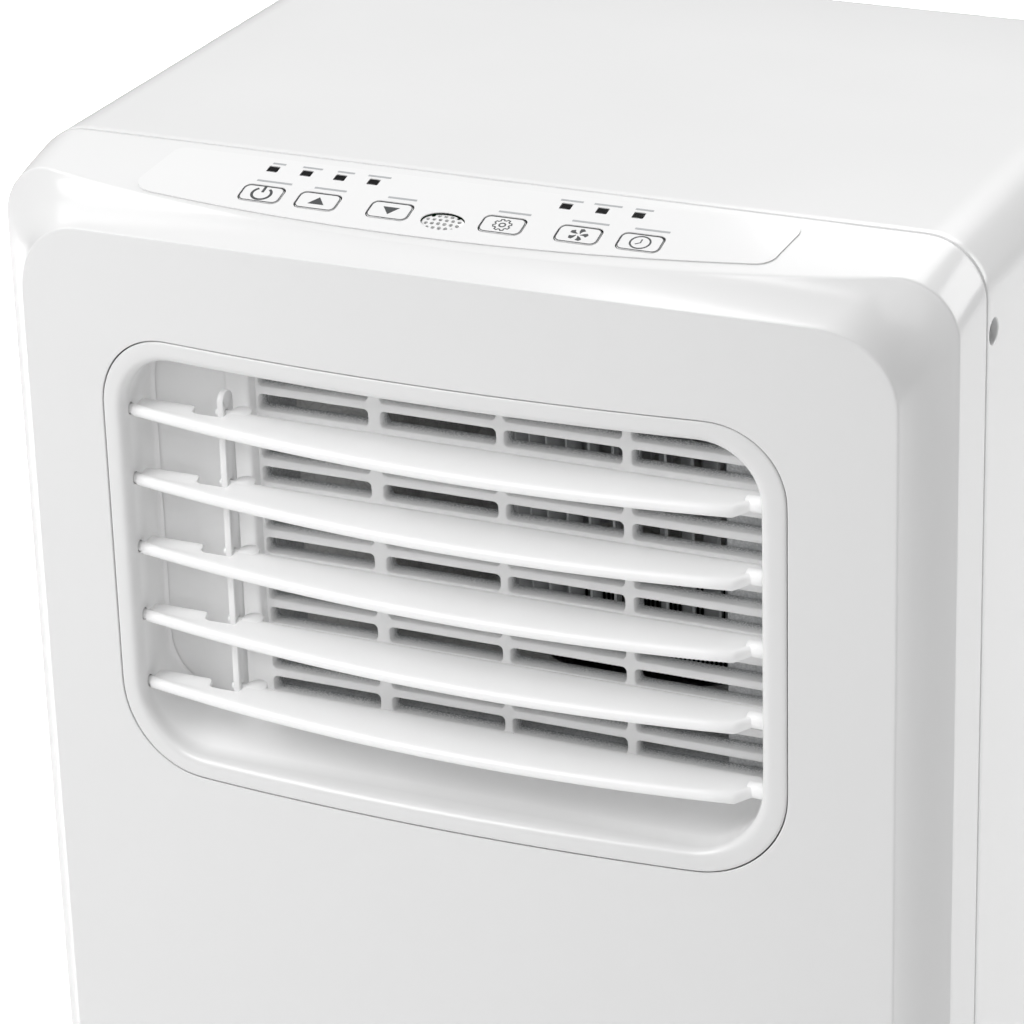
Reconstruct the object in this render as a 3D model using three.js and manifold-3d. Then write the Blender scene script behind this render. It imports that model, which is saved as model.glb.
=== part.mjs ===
// A compact portable air conditioner. Millimetres, +Z up, the front faces -Y, the floor is z = 0 and the
// bounding box is centred on x = 0, y = 0.
import * as THREE from "three";
import Module from "manifold-3d";
import { mergeVertices } from "three/addons/utils/BufferGeometryUtils.js";

const wasm = await Module();
wasm.setup();

// ---- driving dimensions -------------------------------------------------------------------------------
const WIDTH = 330; // outside width of the cabinet
const DEPTH = 280; // overall depth, front bow to the exhaust collar
const HEIGHT = 680; // floor to the flat top
const SEAM = -88.6; // y of the joint between the front shell and the rear cabinet
const WALL = 2.5; // moulded wall
const HW = WIDTH / 2;
const CORNER = 20; // radius of the top corners at the seam
const SHELL_BOTTOM = 44; // lower edge of both shells
const CABINET_BACK = SEAM + 222; // outer face of the back panel
const BACK_ROUND = 10; // rounding of the cabinet's rear edge
const VENT_X = -2.3; // middle of the air outlet
const VENT_HALF = 119.3; // half width of the opening in the front face
const VENT_TOP = HEIGHT - 51.1;
const VENT_BOTTOM = HEIGHT - 206.4;
const LOUVRES = 5;
const LOUVRE_PITCH = 24.6;
const LOUVRE_Z = HEIGHT - 80.1; // axis of the top louvre
const LOUVRE_Y = SEAM - 37; // axis of all louvres
const LOUVRE_REST = (9 * Math.PI) / 180; // front edge lower by this much
const LINK_X = -82; // vertical flat bar that ties the louvres together
const LINK_ARM = 5.5; // louvre axis to link pin
const GRILLE_Y = SEAM - 13.4; // front of the grille behind the louvres
const KEY_Y = SEAM - 23;
const LED_Y = SEAM - 10;
const KEYS = { power: -68.5, up: -48.6, down: -23.4, mode: 15.3, speed: 40.9, timer: 61.5 };
const LEDS = { left: [-70.8, -58.9, -47, -35.2], right: [31.2, 43.4, 55.6] };
const CASTER_X = 125;
const CASTER_Y = [SEAM + 16, SEAM + 192];
const WHEEL_R = 17;

// ---- colours ------------------------------------------------------------------------------------------
const finish = (color, roughness, metalness = 0) =>
  new THREE.MeshStandardMaterial({ color, roughness, metalness });
const WHITE = finish(0xeeeff0, 0.25);
const WHITE_MATTE = finish(0xe6e7e8, 0.5);
const LABEL = finish(0xf4f5f5, 0.12);
const DARK = finish(0x1d1f21, 0.5);
const FOAM = finish(0x6a6c6e, 0.95);
const BOARD = finish(0x2f6b3c, 0.6);
const STEEL = finish(0xb9bcbf, 0.35, 1);
const ALU = finish(0xc9cdd0, 0.4, 1);
const COPPER = finish(0xb06a44, 0.35, 1);
const BLACK_PAINT = finish(0x17181a, 0.45);
const RUBBER = finish(0x2a2b2d, 0.85);
const EPS = finish(0xf1f1ee, 0.9);

const group = new THREE.Group();
group.name = "portable_air_conditioner";
const put = (name, geometry, material) => {
  const mesh = new THREE.Mesh(geometry, material);
  mesh.name = name;
  group.add(mesh);
  return mesh;
};

// ---- solids -------------------------------------------------------------------------------------------
function solid(geometry) {
  let g = geometry.clone();
  for (const a of Object.keys(g.attributes)) if (a !== "position") g.deleteAttribute(a);
  g = mergeVertices(g, 1e-4);
  const m = new wasm.Mesh({
    numProp: 3,
    vertProperties: new Float32Array(g.attributes.position.array),
    triVerts: new Uint32Array(g.index.array),
  });
  m.merge();
  return new wasm.Manifold(m);
}
// Faces pointing out: the signed volume decides.
function outward(g) {
  const p = g.attributes.position;
  const at = (i) => new THREE.Vector3().fromBufferAttribute(p, i);
  const t = g.index.array;
  let volume = 0;
  for (let i = 0; i < t.length; i += 3) volume += at(t[i]).dot(at(t[i + 1]).cross(at(t[i + 2]))) / 6;
  if (volume < 0) for (let i = 0; i < t.length; i += 3) [t[i], t[i + 1]] = [t[i + 1], t[i]];
  return g;
}
function shape(manifold) {
  const m = manifold.getMesh();
  const g = new THREE.BufferGeometry();
  g.setAttribute("position", new THREE.BufferAttribute(new Float32Array(m.vertProperties), 3));
  g.setIndex(new THREE.BufferAttribute(new Uint32Array(m.triVerts), 1));
  return g;
}
const cut = (a, ...b) => shape(b.reduce((s, g) => s.subtract(solid(g)), solid(a)));
const join = (a, ...b) => shape(b.reduce((s, g) => s.add(solid(g)), solid(a)));
const box = (x0, x1, y0, y1, z0, z1) =>
  new THREE.BoxGeometry(x1 - x0, y1 - y0, z1 - z0).translate((x0 + x1) / 2, (y0 + y1) / 2, (z0 + z1) / 2);
// A cylinder along an axis, from one end coordinate to the other.
function rod(axis, r, from, to, p, q, sides = 20, r2 = r) {
  const g = new THREE.CylinderGeometry(r2, r, to - from, sides);
  if (axis === "x") return g.rotateZ(-Math.PI / 2).translate((from + to) / 2, p, q);
  if (axis === "y") return g.translate(p, (from + to) / 2, q);
  return g.rotateX(Math.PI / 2).translate(p, q, (from + to) / 2);
}
// A lathe about +Z at x, y from a closed [radius, z] profile.
const turned = (profile, x, y, sides = 24) =>
  outward(new THREE.LatheGeometry(profile.concat([profile[0]]).map(([r, z]) => new THREE.Vector2(r, z)), sides)
    .rotateX(Math.PI / 2)).translate(x, y, 0);
// A flat outline extruded, the outline in x and y and the thickness along +Z.
function slab(points, depth, holes = []) {
  const s = new THREE.Shape(points.map(([x, y]) => new THREE.Vector2(x, y)));
  for (const h of holes) s.holes.push(new THREE.Path(h.map(([x, y]) => new THREE.Vector2(x, y))));
  return new THREE.ExtrudeGeometry(s, { depth, bevelEnabled: false });
}
const rounded = (w, h, r, n = 3) => {
  const out = [];
  [[1, 1], [-1, 1], [-1, -1], [1, -1]].forEach(([sx, sy], k) => {
    for (let i = 0; i <= n; i++) {
      const a = (k + i / n) * (Math.PI / 2);
      out.push([sx * (w / 2 - r) + r * Math.cos(a), sy * (h / 2 - r) + r * Math.sin(a)]);
    }
  });
  return out;
};
function surface(pos, tri) {
  const g = new THREE.BufferGeometry();
  g.setAttribute("position", new THREE.Float32BufferAttribute(pos, 3));
  g.setIndex(tri);
  return outward(g);
}
// One closed body through equal closed rings. Ends are joined to each other, or capped with a fan.
function loft(rings, capped = false) {
  const n = rings[0].length;
  const pos = rings.flat(2);
  const tri = [];
  const last = capped ? rings.length - 1 : rings.length;
  for (let k = 0; k < last; k++) {
    const a = k * n;
    const b = ((k + 1) % rings.length) * n;
    for (let i = 0; i < n; i++) {
      const j = (i + 1) % n;
      tri.push(a + i, b + i, b + j, a + i, b + j, a + j);
    }
  }
  if (capped) {
    [0, rings.length - 1].forEach((k, e) => {
      const mid = rings[k].reduce((s, p) => s.map((v, i) => v + p[i] / n), [0, 0, 0]);
      const c = pos.length / 3;
      pos.push(...mid);
      for (let i = 0; i < n; i++) {
        const j = (i + 1) % n;
        if (e) tri.push(k * n + i, c, k * n + j);
        else tri.push(k * n + i, k * n + j, c);
      }
    });
  }
  return surface(pos, tri);
}

// ---- the front: a ring of the rounded outline, the same points on every ring -----------------------------
const TOP_SEGS = 8;
const SIDE_SEGS = 2;
const ARC_SEGS = 5;
// half: half width. top(x), y(x, z): where the ring runs. rt, rb: radii of its upper and lower corners.
function ring({ half, top, bottom, rt, rb = rt, y, cx = 0 }) {
  const topAt = typeof top === "function" ? top : () => top;
  const p = [];
  const arc = (ox, oz, r, from) => {
    for (let i = 1; i < ARC_SEGS; i++) {
      const a = from - (i / ARC_SEGS) * (Math.PI / 2);
      p.push([ox + r * Math.cos(a), oz + r * Math.sin(a)]);
    }
  };
  for (let i = 0; i <= TOP_SEGS; i++) {
    const x = (half - rt) * ((2 * i) / TOP_SEGS - 1);
    p.push([x, topAt(x)]);
  }
  const zt = topAt(half - rt) - rt;
  arc(half - rt, zt, rt, Math.PI / 2);
  for (let i = 0; i <= SIDE_SEGS; i++) p.push([half, zt + ((bottom + rb - zt) * i) / SIDE_SEGS]);
  arc(half - rb, bottom + rb, rb, 0);
  for (let i = 0; i <= TOP_SEGS; i++) p.push([(half - rb) * (1 - (2 * i) / TOP_SEGS), bottom]);
  arc(-(half - rb), bottom + rb, rb, -Math.PI / 2);
  for (let i = 0; i <= SIDE_SEGS; i++) p.push([-half, bottom + rb + ((zt - bottom - rb) * i) / SIDE_SEGS]);
  arc(-(half - rt), zt, rt, Math.PI);
  return p.map(([x, z]) => [x + cx, y(x + cx, z), z]);
}
const clamp01 = (v) => Math.min(1, Math.max(0, v));
// The outer crease round the border: further forward and lower in the middle of the top.
const creaseForward = (x) => 14 * (1 - Math.min(1, Math.abs(x) / HW) ** 2);
const creaseY = (x, z) => SEAM - 22 - creaseForward(x) * clamp01((z - (HEIGHT - 40)) / 20);
const creaseZ = (x) => HEIGHT - 4.5 - 6 * clamp01(1 - (x / 150) ** 2) ** 0.8;
// The sloping control band between the seam and the crease.
const bandZ = (x, y) => {
  const t = clamp01((y - SEAM) / (SEAM - 22 - creaseForward(x) - SEAM));
  return HEIGHT - (HEIGHT - creaseZ(x)) * (0.75 * t + 0.25 * t * t);
};
// The face is bowed about a vertical axis.
const faceY = (x) => SEAM - 38.4 - 13 * (1 - (x / 150.6) ** 2);
const FACE_HALF = 150.6;
const faceTop = (x) => HEIGHT - 14.5 - 3.4 * (x / 124.6) ** 2;
const coveRing = (s, lift = 0) => {
  const a0 = (25 * Math.PI) / 180;
  const a1 = (72 * Math.PI) / 180;
  const a = a0 + (a1 - a0) * s;
  const u = (Math.sin(a) - Math.sin(a0)) / (Math.sin(a1) - Math.sin(a0)); // inwards
  const v = (Math.cos(a0) - Math.cos(a)) / (Math.cos(a0) - Math.cos(a1)); // forwards
  const mix = (p, q, t) => p + (q - p) * t;
  return ring({
    half: mix(164.1, FACE_HALF, u) - lift,
    top: (x) => mix(creaseZ(x), faceTop(x), u) - lift,
    bottom: mix(SHELL_BOTTOM + 1, SHELL_BOTTOM + 14, u) + lift,
    rt: mix(20, 26, u) - lift * 0.4,
    y: (x, z) => mix(creaseY(x, z), faceY(Math.max(-FACE_HALF, Math.min(FACE_HALF, x))), v) + lift,
  });
};
const bandRing = (t, half, drop, back = 0) =>
  ring({
    half,
    top: (x) => bandZ(x, SEAM + t * (-22 - creaseForward(x))) - drop,
    bottom: SHELL_BOTTOM + t + drop,
    rt: CORNER - drop * 0.6,
    y: (x, z) => SEAM + t * (creaseY(x, z) - SEAM) + back,
  });
const opening = (grow, y, deeper = 0, lift = 0, taper = 0) =>
  ring({
    half: VENT_HALF - grow - taper,
    top: VENT_TOP - grow,
    bottom: VENT_BOTTOM + grow + lift,
    rt: Math.max(3, 24 - grow * 0.8 - taper * 2),
    rb: Math.max(3, 30 - grow * 0.8 - lift * 0.6),
    y: (x) => (typeof y === "function" ? y(x) : y) + deeper,
    cx: VENT_X,
  });
const between = (a, b, t) => a.map((p, i) => p.map((v, k) => (k === 1 ? 0 : v + (b[i][k] - v) * t)));
const onFace = (pts, deeper = 0) => pts.map(([x, , z]) => [x, faceY(x) + deeper, z]);

{
  const edge = coveRing(1);
  const hole = opening(0, faceY);
  const shell = loft([
    bandRing(0, HW - WALL, WALL),
    bandRing(0, HW, 0),
    bandRing(0.5, HW - 0.4, 0),
    coveRing(0),
    coveRing(0.33),
    coveRing(0.66),
    edge,
    onFace(between(edge, hole, 0.5)),
    hole,
    opening(0, faceY, WALL),
    onFace(between(coveRing(1, WALL), hole, 0.5), WALL),
    coveRing(1, WALL),
    coveRing(0.5, WALL),
    coveRing(0, WALL),
    bandRing(0.5, HW - 0.4 - WALL, WALL),
  ]);
  const holes = [];
  for (const x of Object.values(KEYS)) holes.push(tiltedKey(x, 14.3, 8.4, 2.2, 8, -4));
  for (const x of [...LEDS.left, ...LEDS.right]) {
    holes.push(box(x - 1.6, x + 1.6, LED_Y - 1.3, LED_Y + 1.3, HEIGHT - 10, HEIGHT + 4));
  }
  holes.push(tiltedKey(-4.4, 15.2, 9, 4.4, 8, -4, KEY_Y - 1.7, 3));
  put("front_shell", cut(shell, ...holes), WHITE);
}

// A rounded block standing on the control band's slope. low and up are along its normal.
function tiltedKey(x, w, h, r, up, low, y = KEY_Y, n = 1) {
  const slope = Math.atan2(bandZ(x, y + 2) - bandZ(x, y - 2), 4);
  return slab(rounded(w, h, r, n), up - low).translate(0, 0, low).rotateX(slope).translate(x, y, bandZ(x, y));
}

// ---- control panel ------------------------------------------------------------------------------------
{
  const cols = 14;
  const rows = 2;
  const grid = (lift) => {
    const out = [];
    for (let j = 0; j <= rows; j++) {
      const line = [];
      for (let i = 0; i <= cols; i++) {
        const end = 1 - Math.abs((2 * i) / cols - 1);
        const x = -109.6 + (214.9 * i) / cols;
        const front = SEAM - 22 - creaseForward(x) + 1.6 + (end === 0 ? 2.5 : 0);
        const back = SEAM - 4.5 - (end === 0 ? 2.5 : 0);
        const y = back + ((front - back) * j) / rows;
        line.push([x, y, bandZ(x, y) + lift]);
      }
      out.push(line);
    }
    return out;
  };
  const loop = (g) => [
    ...g[0], ...g.slice(1, -1).map((l) => l[cols]), ...[...g[rows]].reverse(),
    ...g.slice(1, -1).reverse().map((l) => l[0]),
  ];
  const upper = grid(0.75);
  const lower = grid(0.15);
  const pos = [...upper.flat(), ...lower.flat()].flat();
  const n = (cols + 1) * (rows + 1);
  const id = (j, i, l) => l * n + j * (cols + 1) + i;
  const tri = [];
  for (let j = 0; j < rows; j++) {
    for (let i = 0; i < cols; i++) {
      tri.push(id(j, i, 0), id(j + 1, i, 0), id(j + 1, i + 1, 0), id(j, i, 0), id(j + 1, i + 1, 0), id(j, i + 1, 0));
      tri.push(id(j, i, 1), id(j + 1, i + 1, 1), id(j + 1, i, 1), id(j, i, 1), id(j, i + 1, 1), id(j + 1, i + 1, 1));
    }
  }
  const a = loop(upper).length;
  const base = pos.length / 3;
  pos.push(...loop(upper).flat(), ...loop(lower).flat());
  for (let i = 0; i < a; i++) {
    const j = (i + 1) % a;
    tri.push(base + i, base + j, base + a + j, base + i, base + a + j, base + a + i);
  }
  const g = surface(pos, tri);
  const holes = Object.values(KEYS).map((x) => tiltedKey(x, 14.2, 8.3, 2.2, 5, -3));
  for (const x of [...LEDS.left, ...LEDS.right]) {
    holes.push(box(x - 1.6, x + 1.6, LED_Y - 1.3, LED_Y + 1.3, HEIGHT - 10, HEIGHT + 4));
  }
  holes.push(tiltedKey(-4.4, 15, 8.8, 4.3, 5, -3, KEY_Y - 1.7, 3));
  put("control_label", cut(g, ...holes), LABEL);
}
for (const [name, x] of Object.entries(KEYS)) {
  put(`button_${name}`, join(tiltedKey(x, 13.5, 7.6, 2, 1, -4.4), tiltedKey(x, 3, 3, 0.8, -4.4, -6.4)), LABEL);
}
{
  const holes = [];
  for (let j = -1; j <= 1; j++) {
    for (let i = -2; i <= 2; i++) {
      if (j && Math.abs(i) === 2) continue;
      holes.push(rod("z", 0.65, HEIGHT - 20, HEIGHT + 5, -4.4 + i * 2.4, KEY_Y - 1.7 + j * 2.2, 5));
    }
  }
  put("sensor_cap", cut(tiltedKey(-4.4, 14.4, 8.2, 4, 0.3, -4.2, KEY_Y - 1.7, 3), ...holes), LABEL);
}
for (const [side, xs] of Object.entries(LEDS)) {
  const lid = bandZ(xs[0], LED_Y);
  const guide = box(xs[0] - 5, xs[xs.length - 1] + 5, LED_Y - 3.5, LED_Y + 3.5, lid - 8, lid - 5.2);
  const pegs = xs.map((x) => box(x - 1.3, x + 1.3, LED_Y - 1, LED_Y + 1, lid - 6, bandZ(x, LED_Y) + 0.5));
  put(`led_guide_${side}`, join(guide, ...pegs), DARK);
}
put("control_board",
  new THREE.BoxGeometry(165, 26, 1.6).rotateX((16 * Math.PI) / 180).translate(-4, SEAM - 19.5, HEIGHT - 15.2),
  BOARD);

// ---- air outlet: surround, grille, foam -------------------------------------------------------------------
const louvreZ = (i) => LOUVRE_Z - i * LOUVRE_PITCH;
{
  const back = GRILLE_Y - 0.3;
  const depth = (t) => (y) => y; // rings below run at a fixed y
  const ringAt = (y, grow, lift, taper) => opening(grow, y, 0, lift, taper);
  const surround = loft([
    opening(0.4, faceY, 2.4),
    opening(0.4, faceY, 0),
    opening(6.3, faceY, 0),
    opening(7.3, faceY, 1.2),
    ringAt(SEAM - 34, 7.5, 0.8, 0.2),
    ringAt(SEAM - 27, 7.6, 2.2, 0.4),
    ringAt(SEAM - 20, 7.7, 4.4, 0.6),
    ringAt(back, 7.8, 7.2, 0.8),
    ringAt(back, 5.8, 7, 0.8),
    ringAt(SEAM - 22, 5.6, 3.4, 0.5),
    ringAt(SEAM - 33, 5.4, 0.5, 0.2),
    opening(5.2, faceY, 4),
  ]);
  const bores = [];
  for (let i = 0; i < LOUVRES; i++) {
    bores.push(rod("x", 2.1, VENT_X - 118, VENT_X + 118, LOUVRE_Y, louvreZ(i), 8));
  }
  put("vent_surround", cut(surround, ...bores), WHITE);
}
const COLUMNS = [[-79.2, -39.3], [-34.9, 6.1], [8.9, 49.9], [53, 103]];
const BAR_PITCH = 8.533; // fifteen rows of slots
const GRILLE_DEPTH = 6.5;
{
  const z0 = HEIGHT - 56;
  const z1 = HEIGHT - 192;
  const plate = box(VENT_X - 113, VENT_X + 113, GRILLE_Y, GRILLE_Y + GRILLE_DEPTH, z1, z0);
  const slots = [];
  for (const [x0, x1] of COLUMNS) {
    for (let k = 0; k < 15; k++) {
      const top = HEIGHT - 62.134 - BAR_PITCH * k;
      slots.push(box(x0, x1, GRILLE_Y - 8, GRILLE_Y + 20, top - 5.55, top));
    }
  }
  const rib = box(-89, -79.9, GRILLE_Y - 5, GRILLE_Y + 1, z1 + 20, z0 - 6);
  put("outlet_grille", cut(join(plate, rib), ...slots), WHITE);
  const frame = box(-90, 106, GRILLE_Y + GRILLE_DEPTH + 0.4, GRILLE_Y + 26, z1 + 1, z0 - 1);
  put("duct_foam", cut(frame, box(-79, 82.5, GRILLE_Y + 5, GRILLE_Y + 30, z1 + 4, z0 - 5)), FOAM);
}

// ---- louvres and their link ---------------------------------------------------------------------------------
// A blade's section at x: from the rear edge to the rounded nose, y forward negative, about the axis.
function bladeSection(x) {
  const nose = -3 - 10.2 * (1 - ((x - 12) / 121) ** 2);
  return [
    [6.2, -0.8], [6.2, 0.8], [0, 1.5], [nose + 1.6, 1.7], [nose + 0.2, 0.8],
    [nose + 0.2, -1], [nose + 1.6, -1.8], [0, -1.4],
  ];
}
for (let i = 0; i < LOUVRES; i++) {
  const xs = [-112.2, -111, -85, -45, 0, 45, 78, 99, 103.5, 106.6];
  const rings = xs.map((x) => {
    const end = x === xs[0] || x === xs[xs.length - 1];
    const k = end ? 0.55 : 1;
    return bladeSection(x).map(([y, z]) => [x, (end && x > 0 ? Math.max(-2.2, y) : y) * (end ? 0.8 : 1), z * k]);
  });
  const pinAt = (x0, x1) => rod("x", 1.7, x0, x1, 0, 0, 8);
  // A notch lets the link pass. The rounded tab beside it carries the link pin.
  const notch = box(LINK_X - 8.2, LINK_X + 2.1, 0.9, 12, -6, 6);
  const blade = join(
    cut(join(loft(rings, true), pinAt(-115.2, -108), pinAt(100, 110.6)), notch),
    rod("z", 3.7, -1, 1, LINK_X + 5.8, 6.2, 16),
    rod("x", 1.1, LINK_X - 2.8, LINK_X + 3.5, LINK_ARM, 0, 8),
  );
  put(`louvre_${i + 1}`, blade, WHITE).position.set(0, LOUVRE_Y, louvreZ(i));
  group.children[group.children.length - 1].rotation.x = LOUVRE_REST;
}
{
  const y = LOUVRE_Y + LINK_ARM * Math.cos(LOUVRE_REST);
  const z = (i) => louvreZ(i) + LINK_ARM * Math.sin(LOUVRE_REST);
  const bar = box(LINK_X - 1.1, LINK_X + 1.1, y - 2.6, y + 4.4, z(LOUVRES - 1) - 3.5, z(0) + 4);
  const tip = rod("x", 3.5, LINK_X - 1.1, LINK_X + 1.1, y + 0.9, z(0) + 4, 18);
  const holes = [];
  for (let i = 0; i < LOUVRES; i++) holes.push(rod("x", 1.45, LINK_X - 4, LINK_X + 4, y, z(i), 8));
  put("louvre_link", cut(join(bar, tip), ...holes), WHITE);
}

// ---- rear cabinet ---------------------------------------------------------------------------------------------
// An upside-down U: top and both sides in one wall, its rear edge rounded inwards.
function cabinetRing(y, inset) {
  const path = (grow) => {
    const half = HW - inset - grow;
    const top = HEIGHT - inset - grow;
    const r = Math.max(4, CORNER - inset - grow);
    const p = [[-half, SHELL_BOTTOM]];
    for (let i = 0; i <= 6; i++) {
      const a = Math.PI - (i / 6) * (Math.PI / 2);
      p.push([-half + r + r * Math.cos(a), top - r + r * Math.sin(a)]);
    }
    for (let i = 0; i <= 6; i++) {
      const a = Math.PI / 2 - (i / 6) * (Math.PI / 2);
      p.push([half - r + r * Math.cos(a), top - r + r * Math.sin(a)]);
    }
    p.push([half, SHELL_BOTTOM]);
    return p;
  };
  return [...path(0), ...path(WALL).reverse()].map(([x, z]) => [x, y, z]);
}
const SCREW = { y: SEAM + 6.6, z: HEIGHT - 31.4 };
{
  const rings = [cabinetRing(SEAM + 0.6, 0), cabinetRing(CABINET_BACK - BACK_ROUND, 0)];
  for (const a of [30, 60, 85]) {
    const t = (a * Math.PI) / 180;
    rings.push(cabinetRing(CABINET_BACK - BACK_ROUND * (1 - Math.sin(t)), BACK_ROUND * (1 - Math.cos(t))));
  }
  const body = cabinetSolid(rings);
  const pockets = [];
  const cores = [];
  for (const s of [-1, 1]) {
    const near = (a, b) => (s > 0 ? [a, b] : [-b, -a]);
    pockets.push(box(...near(HW - 26, HW - 1), SEAM + 78, SEAM + 172, HEIGHT - 142, HEIGHT - 98));
    cores.push(box(...near(HW - 24, HW + 4), SEAM + 80, SEAM + 170, HEIGHT - 140, HEIGHT - 100));
    pockets.push(rod("x", 6.4, ...near(HW - 9, HW - 1), SCREW.y + 0.2, SCREW.z, 16));
    cores.push(rod("x", 4.2, ...near(HW - 6.5, HW + 3), SCREW.y, SCREW.z, 16));
  }
  put("rear_cabinet", cut(join(body, ...pockets), ...cores), WHITE);
  for (const s of [-1, 1]) {
    const near = (a, b) => (s > 0 ? [a, b] : [-b, -a]);
    put(s < 0 ? "shell_screw_left" : "shell_screw_right",
      rod("x", 3.4, ...near(HW - 6.2, HW - 3.8), SCREW.y, SCREW.z, 12), STEEL);
  }
}
function cabinetSolid(rings) {
  const n = rings[0].length;
  const half = n / 2;
  const pos = rings.flat(2);
  const tri = [];
  for (let k = 0; k + 1 < rings.length; k++) {
    for (let i = 0; i < n; i++) {
      const j = (i + 1) % n;
      tri.push(k * n + i, (k + 1) * n + i, (k + 1) * n + j, k * n + i, (k + 1) * n + j, k * n + j);
    }
  }
  const e = (rings.length - 1) * n;
  for (let i = 0; i + 1 < half; i++) {
    const a = i, b = i + 1, c = n - 2 - i, d = n - 1 - i;
    tri.push(a, b, c, a, c, d, e + a, e + c, e + b, e + a, e + d, e + c);
  }
  return surface(pos, tri);
}

// ---- back panel, intakes, exhaust -----------------------------------------------------------------------------
const EXHAUST_Z = HEIGHT - 345;
const UPPER = { z0: HEIGHT - 262, z1: HEIGHT - 42, half: 122 };
const LOWER = { z0: HEIGHT - 590, z1: HEIGHT - 424, half: 122 };
{
  const half = HW - BACK_ROUND - WALL - 0.3;
  const top = HEIGHT - BACK_ROUND - WALL - 0.3;
  const out = [[-half, SHELL_BOTTOM], [half, SHELL_BOTTOM]];
  for (let i = 0; i <= 3; i++) {
    const a = (i / 3) * (Math.PI / 2);
    out.push([half - 8 + 8 * Math.cos(a), top - 8 + 8 * Math.sin(a)]);
  }
  for (let i = 0; i <= 3; i++) {
    const a = Math.PI / 2 + (i / 3) * (Math.PI / 2);
    out.push([-half + 8 + 8 * Math.cos(a), top - 8 + 8 * Math.sin(a)]);
  }
  const rect = ({ z0, z1, half: h }, g) => [[-h - g, z0 - g], [h + g, z0 - g], [h + g, z1 + g], [-h - g, z1 + g]];
  const circle = (r, x, z, n) => Array.from({ length: n }, (_, i) => [
    x + r * Math.cos((2 * Math.PI * i) / n), z + r * Math.sin((2 * Math.PI * i) / n)]);
  const holes = [rect(UPPER, 0.5), rect(LOWER, 0.5), circle(62.6, 0, EXHAUST_Z, 24),
    circle(7.4, -110, 70, 12), circle(7.4, 118, 70, 12)];
  put("back_panel",
    slab(out, WALL, holes).rotateX(Math.PI / 2).translate(0, CABINET_BACK, 0), WHITE);
}
function intake(name, { z0, z1, half }, slots) {
  const frame = box(-half, half, CABINET_BACK - 6, CABINET_BACK + 1.2, z0, z1);
  const hollow = box(-half + 2.5, half - 2.5, CABINET_BACK - 12, CABINET_BACK - 1.2, z0 + 2.5, z1 - 2.5);
  const pitch = (z1 - z0 - 12) / slots;
  const cuts = [];
  for (let k = 0; k < slots; k++) {
    const z = z0 + 6 + (k + 0.5) * pitch;
    for (const [a, b] of [[-half + 8, -3], [3, half - 8]]) {
      cuts.push(box(a, b, CABINET_BACK - 4, CABINET_BACK + 4, z - pitch * 0.31, z + pitch * 0.31));
    }
  }
  put(name, cut(frame, hollow, ...cuts), WHITE);
}
intake("intake_grille_upper", UPPER, 12);
intake("intake_grille_lower", LOWER, 9);
for (const [name, { z0, z1, half }] of Object.entries({ filter_upper: UPPER, filter_lower: LOWER })) {
  const frame = box(-half + 3, half - 3, CABINET_BACK - 3.8, CABINET_BACK - 1.5, z0 + 3, z1 - 3);
  put(name, frame, DARK);
}
{
  const profile = [[57.8, 0], [57.8, 34], [60, 34], [60, 29.6], [68, 29.6], [68, 27.6], [62, 27.6], [62, 0]];
  put("exhaust_collar", turned(profile, 0, 0, 24).rotateX(-Math.PI / 2)
    .translate(0, DEPTH / 2 - 34, EXHAUST_Z), WHITE_MATTE);
}

// ---- base pan and casters -------------------------------------------------------------------------------------
const PAN = { x: HW - 3.2, y0: SEAM + 1.2, y1: CABINET_BACK - BACK_ROUND - 1, z0: 40, z1: 56 };
{
  const tray = box(-PAN.x, PAN.x, PAN.y0, PAN.y1, PAN.z0, PAN.z1);
  const inside = box(-PAN.x + 3, PAN.x - 3, PAN.y0 + 3, PAN.y1 - 3, PAN.z0 + 3, PAN.z1 + 4);
  const bosses = [];
  const sockets = [];
  for (const x of [-CASTER_X, CASTER_X]) {
    for (const y of CASTER_Y) {
      bosses.push(rod("z", 8, PAN.z0 + 1, PAN.z0 + 15, x, y, 10));
      sockets.push(rod("z", 4.5, PAN.z0 - 2, PAN.z0 + 13, x, y, 10));
    }
  }
  put("base_pan", cut(join(cut(tray, inside), ...bosses), ...sockets), WHITE_MATTE);
}
{
  let k = 0;
  for (const y of CASTER_Y) {
    for (const x of [-CASTER_X, CASTER_X]) {
      k += 1;
      const ay = y + 11; // the axle trails behind the stem
      const hood = cut(
        rod("x", 19.4, x - 15, x + 15, ay, WHEEL_R, 14),
        rod("x", 18.1, x - 16, x - 2.6, ay, WHEEL_R, 14),
        rod("x", 18.1, x + 2.6, x + 16, ay, WHEEL_R, 14),
        box(x - 30, x + 30, ay - 30, ay + 30, -10, WHEEL_R + 3),
      );
      const web = box(x - 2.6, x + 2.6, ay - 6, ay + 6, WHEEL_R - 6, WHEEL_R + 12);
      const neck = box(x - 5, x + 5, y - 5, y + 8, 33, 37);
      const fork = cut(
        join(hood, web, neck, rod("z", 9, 36, 39.4, x, y, 10), rod("z", 4, 38, 51, x, y, 10)),
        rod("x", 2.9, x - 20, x + 20, ay, WHEEL_R, 8),
        rod("x", 17.8, x - 14.4, x - 3, ay, WHEEL_R, 14),
        rod("x", 17.8, x + 3, x + 14.4, ay, WHEEL_R, 14),
      );
      put(`caster_fork_${k}`, fork, WHITE_MATTE);
      put(`caster_wheel_${k}`, join(
        rod("x", WHEEL_R, x - 14, x - 3.2, ay, WHEEL_R, 14),
        rod("x", WHEEL_R, x + 3.2, x + 14, ay, WHEEL_R, 14),
        rod("x", 2.1, x - 14, x + 14, ay, WHEEL_R, 8),
      ), RUBBER);
    }
  }
}

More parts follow.
